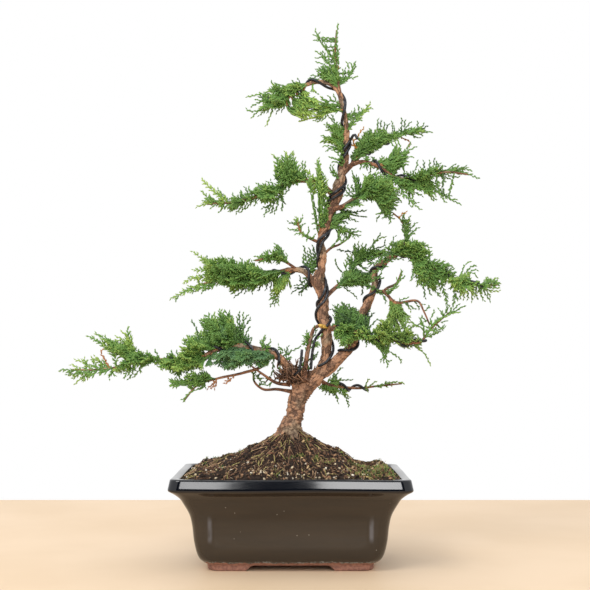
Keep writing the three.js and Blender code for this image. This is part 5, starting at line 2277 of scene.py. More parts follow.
RIGHT_UPPER_FRONT_PAD = Pad(
    node="right_upper_front_foliage", carriers=("right_upper_front_branch",), depth=-20,
    masses=(
        Mass(outline=(
            (390, 155), (393, 150), (395, 146), (399, 144), (402, 152), (408, 150), (410, 152), (405, 155),
            (410, 158), (406, 161), (408, 163), (404, 165), (400, 168), (396, 172), (400, 176), (392, 178),
            (386, 172), (384, 165), (386, 158),
        ), depth=-3, half=12, sweep=0.35),
        Mass(outline=(
            (400, 178), (403, 173), (410, 171), (415, 168), (420, 170), (424, 168), (428, 168), (432, 166),
            (436, 164), (440, 164), (444, 165), (448, 167), (452, 168), (457, 167), (462, 167), (466, 169),
            (468, 171), (460, 174), (452, 173), (446, 175), (440, 176), (435, 178), (430, 180), (422, 181),
            (416, 178), (408, 176),
        ), depth=-20, half=16, sweep=0.72),
        Mass(outline=(
            (420, 181), (428, 181), (434, 184), (438, 188), (441, 193), (438, 197), (434, 199), (428, 196),
            (422, 192), (417, 189), (420, 186),
        ), depth=-22, half=8, sweep=0.7),
        Mass(outline=(
            (352, 158), (362, 154), (375, 154), (386, 157), (388, 172), (380, 177), (366, 173), (357, 166),
        ), depth=2, half=11, sweep=0.1),
        Mass(outline=(
            (384, 172), (400, 177), (412, 182), (419, 190), (416, 198), (408, 194), (398, 187), (390, 184),
            (383, 178),
        ), depth=-18, half=9, sweep=0.5),
    ),
    fronds=(
        Fronds(routes=(
            ((440, 172), (450, 170), (462, 172), (480, 179)), ((448, 171), (460, 168), (473, 171)),
            ((418, 182), (427, 187), (440, 193), (450, 199), (462, 205)),
            ((397, 181), (400, 186), (405, 195), (412, 202), (421, 210)),
        ), reach=3.0),
        Fronds(routes=(
            ((453, 170), (460, 165)), ((460, 169), (467, 166)), ((448, 170), (451, 167), (455, 164.5)),
            ((413, 173), (417, 166), (417, 160)), ((421, 172), (421, 167)), ((424, 171), (424, 161)),
            ((429, 170), (430, 160)), ((434, 170), (434, 158)), ((436, 169), (437, 160)),
            ((437, 168), (440, 163)), ((440, 169), (446, 165)),
        ), reach=1.6, tint=DARK),
        Fronds(routes=(
            ((432, 175), (445, 177), (452, 180)), ((440, 176), (446, 180)),
            ((448, 175), (454, 177), (460, 177)), ((445, 196), (452, 195)), ((450, 199), (458, 199)),
            ((440, 194), (446, 203)), ((427, 190), (432, 196), (437, 201)), ((428, 192), (434, 202)),
            ((430, 180), (440, 186)), ((430, 184), (438, 188), (443, 192)), ((411, 200), (418, 203)),
            ((409, 199), (410, 206)), ((413, 203), (413, 208)), ((405, 188), (414, 195)),
            ((410, 188), (418, 194), (423, 196)),
        ), reach=2.0),
        Fronds(routes=(
            ((398, 158), (410, 150), (417, 146)), ((403, 154), (408, 147), (411, 143)),
            ((396, 160), (407, 157), (414, 157)), ((396, 164), (409, 161)), ((396, 167), (409, 164)),
            ((396, 154), (393, 145), (389, 141)), ((398, 154), (397, 146), (394, 140)),
            ((399, 153), (400, 146), (397, 139)),
        ), reach=1.6),
    ),
    spread=5.0,
)
RIGHT_INNER_PAD = Pad(
    node="right_inner_foliage", carriers=("right_inner_branch",), depth=-19,
    masses=(
        Mass(outline=(
            (364, 193), (363, 185), (366, 176), (370, 173), (376, 172), (382, 170), (388, 176), (392, 180),
            (396, 186), (400, 192), (404, 196), (400, 200), (398, 205), (393, 207), (390, 212), (392, 218),
            (386, 214), (381, 208), (378, 203), (370, 203), (362, 206), (355, 208), (350, 210), (352, 204),
            (358, 200),
        ), depth=-20, half=18, sweep=0.6, tint=Tint(0.42, 0.25)),
        Mass(outline=(
            (380, 200), (392, 200), (400, 205), (404, 212), (396, 214), (392, 224), (386, 217), (380, 210),
        ), depth=-22, half=9, sweep=0.6, tint=DARK),
        Mass(outline=(
            (356, 190), (352, 172), (357, 174), (361, 184), (364, 194), (360, 200),
        ), depth=-16, half=4, sweep=0.3, tint=DARK),
    ),
    fronds=(
        Fronds(routes=(((362, 197), (358, 188), (354, 178), (352, 171)),), reach=3.2, tint=DARK),
        Fronds(routes=(
            ((385, 207), (380, 213), (375, 214)), ((385, 209), (379, 216), (376, 221)),
            ((388, 212), (384, 217), (382, 220)), ((390, 213), (390, 224)), ((395, 198), (402, 202)),
            ((392, 202), (397, 207)), ((366, 188), (365, 180), (364, 174)),
        ), reach=2.0),
        Fronds(routes=(
            ((357, 196), (350, 192), (347, 184)), ((358, 195), (352, 188), (351, 184)),
            ((352, 197), (345, 190)), ((358, 197), (350, 195), (343, 196)),
        ), reach=2.2, tint=DARK),
    ),
)
RIGHT_MIDDLE_TWIG_PAD = Pad(
    node="right_middle_twig_foliage", carriers=("right_middle_twig", "trunk"), depth=-2,
    masses=(
        Mass(outline=(
            (333, 219), (338, 214), (345, 212), (352, 210), (358, 210), (364, 211), (358, 214), (352, 216),
            (347, 219), (342, 221), (340, 225), (350, 227), (356, 229), (352, 231), (344, 230), (336, 228),
            (332, 226),
        ), depth=-2, half=7, tint=Tint(0.4, 0.35), fullness=1.2),
    ),
    fronds=(
        Fronds(routes=(
            ((336, 226), (345, 229), (357, 229)), ((340, 229), (350, 232), (361, 231)),
            ((350, 232), (356, 235), (360, 236)), ((346, 217), (352, 219), (358, 222)),
            ((350, 214), (358, 216), (368, 217)), ((352, 213), (360, 211), (367, 211)),
            ((342, 221), (346, 222), (349, 224)),
        ), reach=2.6, tint=DARK),
        Fronds(routes=(
            ((352, 233), (354, 238)), ((337, 228), (340, 238), (342, 244)),
            ((345, 231), (344, 239), (341, 244)), ((350, 231), (348, 238), (343, 243)),
        ), reach=1.2),
    ),
    spread=3.0,
)
RIGHT_MIDDLE_PAD = Pad(
    node="right_middle_foliage", carriers=("right_middle_branch",), depth=18,
    masses=(
        Mass(outline=(
            (354, 245), (358, 243), (362, 245), (366, 244), (368, 248), (364, 251), (370, 252), (376, 256),
            (372, 260), (366, 262), (362, 264), (358, 268), (352, 268), (353, 262), (356, 258), (354, 252),
        ), depth=21, half=15, tint=Tint(0.4, 0.4)),
        Mass(outline=(
            (358, 266), (362, 272), (368, 276), (366, 284), (362, 288), (357, 286), (352, 289), (345, 290),
            (341, 287), (336, 284), (336, 279), (340, 275), (341, 270), (344, 272), (346, 266), (345, 258),
            (347, 253), (351, 256), (353, 262),
        ), depth=16, half=17, tint=Tint(0.38, 0.4)),
        Mass(outline=(
            (364, 248), (376, 248), (390, 250), (388, 258), (375, 262), (366, 262),
        ), depth=20, half=9, carriers=("right_middle_branch",), tint=Tint(0.42, 0.2)),
        Mass(outline=(
            (360, 278), (370, 272), (381, 268), (384, 276), (378, 284), (370, 288), (362, 288),
        ), depth=18, half=10, carriers=("right_middle_branch",), tint=DARK),
    ),
    fronds=(
        Fronds(routes=(
            ((358, 262), (356, 252), (354, 244)), ((360, 260), (359, 250), (358, 242)),
            ((362, 258), (362, 250), (362, 244)), ((363, 257), (365, 250), (366, 243)),
            ((346, 270), (348, 258), (347, 253)), ((351, 270), (352, 258), (351, 253)),
            ((385, 255), (375, 257), (366, 259)),
        ), reach=2.4),
        Fronds(routes=(
            ((362, 256), (370, 249), (375, 242), (381, 233)), ((374, 243), (380, 238), (386, 237)),
        ), reach=2.2),
        Fronds(routes=(
            ((368, 253), (376, 248), (384, 246), (385, 240)), ((342, 272), (337, 266), (335, 258)),
            ((365, 268), (370, 266), (371, 262)), ((366, 270), (372, 272), (374, 266)),
            ((352, 252), (343, 251), (337, 249)), ((345, 288), (352, 293), (357, 298)),
            ((362, 286), (362, 296)), ((366, 282), (371, 288)),
        ), reach=1.3, tint=DARK),
    ),
    spread=6.0,
)
RIGHT_TUFT_PAD = Pad(
    node="right_tuft_foliage", carriers=("right_tuft_stem",), depth=-9,
    masses=(
        Mass(outline=(
            (396, 216), (401, 214), (406, 213), (410, 216), (412, 222), (411, 231), (414, 235), (418, 239),
            (412, 244), (405, 246), (398, 248), (392, 249), (396, 245), (401, 240), (403, 232), (401, 225),
            (397, 220),
        ), depth=-9, half=11, fullness=1.2),
        Mass(outline=(
            (405, 240), (414, 238), (420, 242), (428, 244), (431, 247), (424, 248), (415, 249), (405, 250),
            (396, 250), (391, 249),
        ), depth=-12, half=10, carriers=("right_tuft_stem", "right_leader"), sweep=0.3),
    ),
    fronds=(
        Fronds(routes=(
            ((408, 233), (413, 226), (417, 222)), ((410, 235), (415, 230), (419, 227)),
            ((403, 232), (404, 220), (404, 212)), ((407, 230), (409, 220), (410, 215)),
            ((408, 245), (420, 244), (431, 248)), ((408, 248), (420, 249.5), (428, 250.5)),
        ), reach=2.0),
        Fronds(routes=(
            ((403, 240), (395, 245), (391, 248)), ((396, 245), (393, 240), (395, 236)),
        ), reach=1.0, tint=DARK),
        Fronds(routes=(((399, 219), (402, 214), (407, 212)),), reach=1.6, tint=RUSTY),
    ),
    spread=3.0,
)
RIGHT_LEADER_PAD = Pad(
    node="right_leader_foliage", carriers=("right_leader",), depth=-18,
    masses=(
        Mass(outline=(
            (402, 251), (410, 251), (418, 254), (425, 256), (430, 258), (430, 261), (438, 262), (446, 264),
            (452, 267), (446, 269), (440, 270), (432, 270), (424, 268), (416, 266), (408, 262), (402, 258),
        ), depth=-16, half=17, sweep=0.75),
        Mass(outline=(
            (408, 262), (416, 265), (424, 268), (432, 272), (440, 276), (448, 280), (448, 284), (445, 289),
            (440, 288), (436, 290), (432, 294), (428, 288), (424, 283), (421, 288), (418, 283), (415, 282),
            (412, 276), (410, 269),
        ), depth=-20, half=15, sweep=0.6),
        Mass(outline=(
            (446, 274), (452, 275), (460, 274), (466, 272), (470, 271), (476, 274), (474, 277), (468, 279),
            (472, 282), (476, 286), (480, 292), (488, 294), (484, 296), (478, 299), (472, 298), (466, 299),
            (460, 297), (456, 292), (452, 288), (448, 284),
        ), depth=-25, half=13, sweep=0.65, tint=BRIGHT),
        Mass(outline=(
            (476, 283), (480, 280), (484, 280), (488, 278), (494, 278), (499, 280), (500, 285), (500, 289),
            (494, 291), (488, 293), (482, 292), (478, 288),
        ), depth=-28, half=10, sweep=0.7, fullness=1.3),
        Mass(outline=(
            (394, 243), (404, 237), (416, 239), (430, 246), (433, 256), (424, 259), (412, 257), (400, 254),
            (392, 250),
        ), depth=-22, half=9, sweep=0.5, fullness=1.2),
        Mass(outline=(
            (428, 262), (445, 261), (456, 267), (463, 275), (452, 278), (440, 275), (430, 270),
        ), depth=-27, half=8, sweep=0.6),
        Mass(outline=(
            (460, 276), (478, 280), (492, 284), (486, 292), (470, 289), (458, 284),
        ), depth=-31, half=8, sweep=0.6),
    ),
    fronds=(
        Fronds(routes=(
            ((384, 259), (374, 263), (367, 264)), ((384, 267), (376, 271), (369, 276)),
            ((384, 262), (394, 259), (403, 259)), ((385, 256), (393, 254), (401, 256)),
            ((380, 276), (374, 279), (368, 285)), ((376, 289), (369, 287), (364, 283)),
            ((388, 247), (396, 243), (404, 240)), ((392, 246), (402, 242), (414, 243)),
            ((396, 246), (405, 250), (416, 252)), ((377, 292), (384, 296), (386, 303)),
        ), reach=2.6, tint=DARK),
        Fronds(routes=(
            ((484, 284), (492, 280), (499, 277)), ((485, 286), (494, 284), (501, 283)),
            ((486, 287), (494, 288), (501, 288)), ((486, 289), (494, 291), (500, 291)),
            ((483, 284), (486, 279), (488, 276)),
        ), reach=2.0, tint=BRIGHT),
        Fronds(routes=(
            ((425, 262), (440, 263), (454, 267)), ((420, 256), (426, 256), (431, 259)),
            ((441, 279), (444, 292), (447, 302), (447, 314)),
            ((453, 284), (456, 293), (453, 305), (449, 314)), ((421, 278), (424, 289), (425, 298)),
            ((433, 281), (436, 291), (441, 298)),
        ), reach=2.8),
        Fronds(routes=(
            ((461, 274), (465, 265), (471, 261)), ((465, 274), (471, 267), (477, 265)),
            ((468, 274), (474, 270), (478, 270)), ((470, 273), (475, 274), (477, 278)),
            ((413, 272), (412, 277), (411, 282)), ((419, 278), (417, 288)),
            ((426, 281), (428, 287), (431, 296)), ((448, 275), (451, 270), (455, 269)),
            ((461, 290), (460, 300)), ((464, 292), (464, 300)), ((468, 292), (468, 300)),
            ((472, 293), (472, 302)), ((476, 293), (478, 300)), ((480, 292), (484, 301)),
            ((484, 291), (491, 302)), ((486, 290), (491, 297)),
        ), reach=1.5),
    ),
    spread=5.0,
)
RIGHT_OUTER_PAD = Pad(
    node="right_outer_foliage", carriers=("right_outer_twig",), depth=-22,
    masses=(
        Mass(outline=(
            (390, 304), (396, 300), (400, 303), (403, 308), (400, 312), (406, 314), (412, 318), (415, 322),
            (411, 328), (406, 332), (402, 328), (398, 332), (392, 334), (388, 332), (389, 325), (386, 320),
            (388, 315), (391, 311), (389, 308),
        ), depth=-20, half=11, tint=OLIVE, fullness=0.5),
    ),
    fronds=(
        Fronds(routes=(
            ((400, 300), (404, 299), (409, 297.5)), ((402, 301), (408, 306), (411, 311)),
            ((404, 302), (409, 305), (416, 310)), ((415, 302), (418, 306), (420, 310)),
            ((424, 311), (428, 308), (430, 305)), ((421, 305), (424, 304)),
            ((427, 322), (423, 318), (421, 315)), ((428, 328), (421, 322), (420, 318)),
            ((388, 290), (394, 289), (399, 286)), ((391, 290), (397, 284), (401, 276), (402, 270)),
            ((400, 280), (406, 276)), ((398, 282), (396, 278)),
        ), reach=1.6),
    ),
)
RIGHT_LOWER_PAD = Pad(
    node="right_lower_foliage", carriers=("right_lower_branch",), depth=-24,
    masses=(
        Mass(outline=(
            (336, 330), (340, 324), (345, 322), (350, 320), (356, 326), (360, 322), (366, 322), (370, 326),
            (378, 330), (385, 332), (392, 334), (392, 343), (386, 346), (388, 352), (384, 355), (380, 350),
            (376, 346), (370, 343), (366, 344), (360, 341), (354, 340), (350, 345), (346, 348), (340, 350),
            (336, 345), (334, 338),
        ), depth=-20, half=15),
        Mass(outline=(
            (390, 334), (400, 336), (408, 338), (414, 340), (420, 341), (425, 345), (422, 350), (416, 350),
            (408, 348), (400, 346), (390, 343),
        ), depth=-30, half=10, tint=OLIVE),
        Mass(outline=(
            (333, 301), (338, 303), (343, 300), (347, 303), (350, 300), (354, 304), (358, 303), (362, 306),
            (366, 302), (370, 306), (371, 312), (370, 318), (366, 325), (360, 330), (352, 330), (348, 326),
            (344, 322), (338, 320), (335, 316), (333, 310),
        ), depth=-2, half=12, tint=DARK, sweep=0.1),
        Mass(outline=(
            (372, 324), (384, 319), (400, 317), (412, 323), (417, 334), (425, 342), (414, 347), (400, 346),
            (386, 345), (376, 339),
        ), depth=-37, half=10, sweep=0.3, tint=OLIVE, fullness=0.8),
        Mass(outline=(
            (352, 326), (372, 326), (384, 332), (384, 346), (370, 344), (356, 342),
        ), depth=-32, half=7, sweep=0.2, tint=BRIGHT, fullness=0.8),
    ),
    fronds=(
        Fronds(routes=(
            ((350, 320), (340, 314), (331, 309)), ((350, 317), (342, 310), (333, 306)),
            ((348, 321), (340, 319), (333, 316)), ((346, 310), (343, 303), (341, 301)),
            ((346, 327), (338, 324), (331, 325)), ((366, 325), (371, 316), (374, 312)),
            ((366, 330), (373, 324), (376, 320), (384, 321)),
        ), reach=1.8, tint=DARK),
        Fronds(routes=(
            ((400, 338), (406, 332), (412, 327), (421, 324)), ((392, 338), (396, 330), (402, 326)),
            ((402, 338), (410, 334), (418, 336)), ((378, 334), (376, 329), (382, 328)),
        ), reach=2.4, tint=OLIVE),
        Fronds(routes=(
            ((380, 347), (384, 356), (387, 362), (388, 368)), ((384, 355), (380, 362)),
            ((385, 357), (383, 363)), ((386, 360), (392, 361)),
            ((388, 350), (395, 355), (400, 359), (402, 364)), ((366, 342), (367, 347)),
            ((388, 346), (392, 346)), ((402, 345), (405, 349)),
        ), reach=1.6),
        Fronds(routes=(((416, 347), (424, 353), (428, 360), (431, 366)),), reach=0.9, tint=BRIGHT),
    ),
    spread=5.0,
)
RIGHT_LOWER_FAN_PAD = Pad(
    node="right_lower_fan_foliage", carriers=("right_lower_branch",), depth=-37,
    fronds=(
        Fronds(routes=(
            ((426, 338), (432, 325), (440, 319), (450, 314), (461, 312)),
            ((429, 330), (437, 330), (446, 327)), ((427, 337), (435, 334), (441, 331)),
            ((424, 340), (424, 330), (422, 322), (420, 317)),
        ), reach=2.4),
        Fronds(routes=(
            ((450, 314), (455, 308), (459, 304)), ((456, 311), (462, 307), (466, 306)),
            ((443, 317), (441, 311), (438, 309)), ((443, 317), (446, 311), (448, 306)),
            ((431, 325), (431, 318), (433, 314), (435, 309)), ((433, 326), (437, 321), (438, 316)),
            ((436, 330), (436, 325)), ((442, 329), (444, 324)), ((426, 336), (427, 330)),
            ((436, 322), (443, 322), (448, 320)),
        ), reach=1.6),
    ),
    spread=4.0,
)
LOWEST_RIGHT_PAD = Pad(
    node="lowest_right_foliage", carriers=("lowest_right_branch",), depth=24,
    masses=(
        Mass(outline=(
            (335, 371), (338, 369), (341, 369), (340, 373), (338, 376), (344, 379), (350, 381), (347, 384),
            (346, 388), (349, 390), (347, 393), (348, 397), (345, 398), (343, 399), (341, 395), (338, 399),
            (336, 400), (334, 396), (330, 395), (327, 392), (324, 393), (320, 390), (319, 387), (322, 384),
            (328, 380), (332, 375),
        ), depth=20, half=12),
        Mass(outline=(
            (366, 383), (372, 382), (378, 384), (386, 382), (393, 380), (400, 382), (404, 384), (400, 386),
            (390, 387), (380, 388), (372, 386),
        ), depth=37, half=4, tint=BRIGHT, sweep=0.8),
    ),
    fronds=(
        Fronds(routes=(
            ((336, 376), (340, 369), (343, 367)), ((338, 381), (346, 380), (353, 380)),
            ((340, 389), (346, 394), (350, 398)), ((343, 391), (347, 400), (349, 407)),
            ((334, 390), (337, 398), (338, 403)), ((330, 388), (330, 396)), ((326, 386), (326, 394)),
            ((326, 385), (321, 387), (318, 388)),
        ), reach=2.2),
        Fronds(routes=(
            ((362, 388), (366, 389), (369, 392)), ((366, 385), (368, 380), (370, 378.5)),
            ((371, 385), (375, 382), (378, 381)), ((378, 386), (388, 383), (397, 382), (405, 383.5)),
        ), reach=1.9, tint=BRIGHT),
    ),
    spread=4.0,
)
LEADER_AND_FORK_PAD = Pad(
    node=None,
    carriers=("left_lower_branch", "central_stem", "left_arched_twig", "left_low_twig", "trunk"),
    depth=-10,
    masses=(
        Mass(outline=(
            (297, 341), (301, 336), (305, 333), (308, 333), (309, 338), (310, 345), (308, 350), (303, 352),
            (299, 349), (296, 346),
        ), depth=-11, half=6, fullness=1.3, carriers=("central_stem",), sweep=0.2),
        Mass(outline=(
            (313, 350), (316, 343), (320, 341), (323, 346), (320, 350), (316, 351),
        ), depth=-12, half=4, fullness=1.6, carriers=("central_stem",), sweep=0.2),
        Mass(outline=(
            (251, 372), (254, 369), (258, 374), (258, 380), (261, 384), (257, 385), (253, 382), (251, 378),
        ), depth=-12, half=5, fullness=1.4, carriers=("left_low_twig", "left_arched_twig"), tint=DARK),
        Mass(outline=(
            (305, 168), (312, 167), (316, 161), (318, 159), (321, 163), (325, 168), (325, 175), (328, 180),
            (330, 186), (326, 192), (320, 190), (316, 184), (309, 186), (306, 182), (306, 176),
        ), depth=-13, half=9, tint=Tint(0.62, 0.0), carriers=("trunk",), sweep=0.85, fullness=0.5),
        Mass(outline=(
            (316, 209), (320, 212), (324, 206), (328, 210), (328, 218), (325, 222), (318, 220), (315, 219),
            (313, 214),
        ), depth=-10, half=6, tint=GRASS, carriers=("trunk",), sweep=0.6, fullness=0.9),
    ),
    fronds=(
        Fronds(routes=(
            ((286, 360), (286, 352), (280, 348), (278, 345)), ((283, 350), (277, 349)),
            ((286, 353), (288, 346)), ((288, 359), (290, 352), (296, 349), (302, 346)),
            ((303, 372), (303, 362), (302, 354)), ((307, 370), (311, 362), (318, 354)),
            ((273, 362), (273, 370), (270, 377)), ((281, 362), (280, 368), (277, 366)),
            ((309, 360), (313, 357), (319, 352)), ((312, 338), (316, 332), (314, 326)),
            ((311, 342), (318, 338), (323, 334)), ((311, 340), (307, 334), (306, 330)),
            ((262, 383), (258, 378), (256, 374)), ((268, 386), (262, 381), (259, 383)),
        ), reach=2.0, tint=DARK),
        Fronds(routes=(
            ((326, 217), (325, 205), (323, 195), (320, 183), (318, 170), (318, 158)),
            ((324, 196), (316, 192), (307, 191)), ((322, 188), (313, 178), (305, 169)),
        ), reach=3.4, tint=BRIGHT),
        Fronds(routes=(
            ((326, 221), (320, 214), (316, 207)), ((326, 220), (318, 216), (311, 213)),
            ((326, 222), (318, 220), (312, 218)), ((325, 226), (317, 224), (311, 223)),
            ((325, 227), (318, 227), (315, 229)),
        ), reach=1.8, tint=DARK),
    ),
    spread=2.0,
)

PADS: tuple[Pad, ...] = (
    LEFT_LOWER_PAD, LEFT_LOWER_TIP_PAD, LEFT_UNDER_PAD, LEFT_MIDDLE_PAD, LEFT_MIDDLE_TIP_PAD,
    LEFT_MIDDLE_UPPER_PAD, LEFT_SPRIG_PAD, LEFT_UPPER_PAD, LEFT_UPPER_TIP_PAD, APEX_PAD, TOP_PAD,
    UPPER_LEFT_SPRIG_PAD, UPPER_RIGHT_SPRIG_PAD, RIGHT_UPPER_PAD, RIGHT_UPPER_FRONT_PAD, RIGHT_INNER_PAD,
    RIGHT_MIDDLE_TWIG_PAD, RIGHT_MIDDLE_PAD, RIGHT_TUFT_PAD, RIGHT_LEADER_PAD, RIGHT_OUTER_PAD,
    RIGHT_LOWER_PAD, RIGHT_LOWER_FAN_PAD, LOWEST_RIGHT_PAD, LEADER_AND_FORK_PAD,
)


@dataclass
class Foliage:
    """All pads of the tree."""

    first_seed: int = 101
    loose_name: str = "leader_and_fork_sprays"

    def build(self) -> None:
        """Adds every pad to the scene."""
        finish = FoliageFinish().material()
        for number, pad in enumerate(PADS):
            bm = PadGrower(pad, self.first_seed + number).grow()
            nodes = [pad.node] if pad.node else []
            name = pad.node.replace("_foliage", "_sprays") if pad.node else self.loose_name
            show_piece(name, bm, [finish], Slot.FOLIAGE, *nodes)


@dataclass
class Soil:
    """The mounded soil, with its grit, bark chips, roots and moss."""

    pot: Pot
    around: int = 220
    edge_inset: float = 9.4
    edge_height: float = 76.8
    top: Place = (-1.0, 0.0, 121.0)
    rows: int = 74
    mound: tuple = (
        (0.0, 121.0), (0.12, 117.0), (0.2, 110.5), (0.3, 105.5), (0.44, 99.5), (0.6, 93.2), (0.75, 88.5),
        (0.88, 85.0), (0.96, 81.2), (1.0, 78.0),
    )
    below: tuple = (
        (10.5, 75.2), (11.3, 71.3), (17.3, 63.2), (23.3, 51), (26.3, 34), (28.3, 20), (33.3, 13.3),
    )
    bottom: float = 13.3
    roughness: float = 1.1
    right_drop: tuple[float, float, float] = (42, 84, 5)
    seed: int = 5
    scatter_inset: float = 10.6
    above: float = 150
    grains: int = 1500
    crumbs: int = 2000
    chips: int = 300
    moss_chips: int = 110
    fibres: int = 2000
    moss_blades: int = 1300
    chip_patch: tuple = ((54, 92), (-66, -5))
    moss_patch: tuple = ((56, 92), (-62, -12))
    moss_all_over: tuple = ((-88, 88), (-64, 60))
    patch_tufts: int = 36
    loose_tufts: int = 34
    stone_tones: tuple = (
        (0.62, 0.52, 0.36), (0.42, 0.30, 0.18), (0.70, 0.64, 0.52), (0.34, 0.22, 0.13), (0.50, 0.36, 0.20),
    )
    crumb_tones: tuple = (
        (0.030, 0.020, 0.015), (0.085, 0.052, 0.034), (0.17, 0.10, 0.06), (0.02, 0.015, 0.012),
    )
    chip_tones: tuple = ((0.20, 0.10, 0.06), (0.36, 0.21, 0.12), (0.11, 0.06, 0.04), (0.52, 0.37, 0.20))
    fibre_tones: tuple = (
        (0.24, 0.14, 0.085), (0.42, 0.27, 0.16), (0.11, 0.06, 0.04), (0.19, 0.105, 0.065), (0.44, 0.38, 0.15),
        (0.06, 0.036, 0.026),
    )
    moss_tones: tuple = ((0.06, 0.14, 0.035), (0.15, 0.24, 0.06), (0.36, 0.36, 0.12), (0.26, 0.16, 0.085))

    def _height(self, x: np.ndarray, y: np.ndarray, height: np.ndarray) -> np.ndarray:
        """Gives the mound its bumps and its drop on the right.

        Args:
            x: Where across.
            y: Where front to back.
            height: The smooth mound's height there.

        Returns:
            The height, never under the edge's.
        """
        start, end, depth = self.right_drop
        drop = depth * np.sin(math.pi * smoothstep(x, start, end))
        bumps = self.roughness * (np.sin(0.31 * x + 0.9) + np.cos(0.27 * y - 0.16 * x))
        inward = smoothstep(height, self.edge_height, self.edge_height + 8)
        return np.maximum(height + (bumps - drop) * inward, self.edge_height)

    def _top_rings(self, counts: np.ndarray) -> list[np.ndarray]:
        """The mound's rings from its top to its edge, with crumbs on them.

        Args:
            counts: Where a ring's points stand, in quarter turns.

        Returns:
            The rings.
        """
        places, heights = (np.array(row) for row in zip(*self.mound))
        edge = self.pot.outline(self.edge_inset)
        rings = []
        for share in np.linspace(0.02, 1.0, self.rows):
            corner = blend(share * edge.half_depth, edge.corner, share * share)
            outline = RoundedRectangle(share * edge.half_length, share * edge.half_depth, corner)
            level = outline.points(counts)
            height = self._height(level[:, 0], level[:, 1], np.interp(share, places, heights))
            rings.append(np.column_stack([level, height]))
        for ring in rings:
            for row in ring:
                spot = Vector(row)
                row[2] += 0.9 * noise.noise(spot * 0.28) + 0.55 * abs(noise.noise(spot * 0.75))
        return rings

    def surface(self) -> bmesh.types.BMesh:
        """The soil as one closed body.

        Returns:
            Its crumbly top, and its wall and floor inside the pot.
        """
        counts = 4 * np.arange(self.around) / self.around
        rings = [np.tile(self.top, (self.around, 1)), *self._top_rings(counts)]
        for inset, height in self.below:
            level = self.pot.outline(inset).points(counts)
            rings.append(np.column_stack([level, np.full(self.around, height)]))
        rings.append(np.tile((0.0, 0.0, self.bottom), (self.around, 1)))
        sections = np.stack(rings)
        tones = np.ones((*sections.shape[:2], 4))
        tones[..., :3] = self.crumb_tones[0]
        return skin(sections, tones)

    def _below(self, tree: BVHTree, x: float, y: float) -> tuple[Vector | None, Vector | None]:
        """The place on the soil straight below (x, y), and the way out of it."""
        return tree.ray_cast(Vector((x, y, self.above)), Vector((0, 0, -1)))[:2]

    def _scatter(self, chance: random.Random, tree: BVHTree, outward: float) -> tuple[Vector, Vector]:
        """Picks a place on the soil's top.

        Args:
            chance: The random numbers.
            tree: The soil's faces.
            outward: 0.5 spreads places evenly, and less than that sends more of them to the edge.

        Returns:
            The place and the way up there.
        """
        while True:
            share = chance.random()**outward * 0.985
            turn = chance.random() * 4
            x, y = share * self.pot.outline(self.scatter_inset).points(np.array([turn]))[0]
            hit, normal = self._below(tree, x, y)
            if hit is not None and hit.z > self.edge_height - 2:
                return hit, normal if normal.z > 0 else -normal

    def _turned(self, place: Vector, up: Vector, chance: random.Random, size: Place, tilt: float) -> Matrix:
        """Lays something on a slope, turned at random.

        Args:
            place: Where it lies.
            up: The way up there.
            chance: The random numbers.
            size: Its size along its own axes.
            tilt: How far it tips.

        Returns:
            The matrix that puts it there.
        """
        lie = Vector([chance.gauss(0, tilt) for _ in range(3)]) + up
        turn = lie.to_track_quat("Z", "Y").to_matrix().to_4x4()
        spin = Matrix.Rotation(chance.uniform(0, 2 * math.pi), 4, "Z")
        return Matrix.Translation(place) @ turn @ spin @ Matrix.Diagonal((*size, 1))

    def _add_grains(self, pile: Pile, tree: BVHTree, chance: random.Random) -> None:
        """Adds dark crumbs and pale stones.

        Args:
            pile: Where they go.
            tree: The soil's faces.
            chance: The random numbers.
        """
        stones = [stone_shape(seed, 0.8) for seed in range(5)]
        for number in range(self.crumbs + self.grains):
            crumb = number < self.crumbs
            place, up = self._scatter(chance, tree, 0.55 if crumb else 0.36)
            size = chance.uniform(1.1, 3.6) if crumb else 0.8 + 2.6 * chance.random()**2.2
            tones = self.crumb_tones if crumb else self.stone_tones
            pale = chance.random() < (0.72 if place.z < 88 else 0.3)
            tone = chance.choice(tones if crumb or pale else self.crumb_tones + self.chip_tones)
            lump = (size, size * 0.85, size * 0.8)
            matrix = self._turned(place + up * size * 0.12, up, chance, lump, 0.6)
            pile.put(chance.choice(stones), matrix, tone)

    def _add_chips(self, pile: Pile, tree: BVHTree, chance: random.Random) -> None:
        """Adds bark chips, more of them among the moss.

        Args:
            pile: Where they go.
            tree: The soil's faces.
            chance: The random numbers.
        """
        chips = [chip_shape(seed) for seed in range(4)]
        for number in range(self.chips + self.moss_chips):
            place, up = self._scatter(chance, tree, 0.5)
            if number >= self.chips:
                x, y = (chance.uniform(*limits) for limits in self.chip_patch)
                place = self._below(tree, x, y)[0] or place
            size = chance.uniform(1.8, 4.6)
            matrix = self._turned(place + up * 0.5, up, chance, (size, size, size), 0.32)
            pile.put(chance.choice(chips), matrix, chance.choice(self.chip_tones))

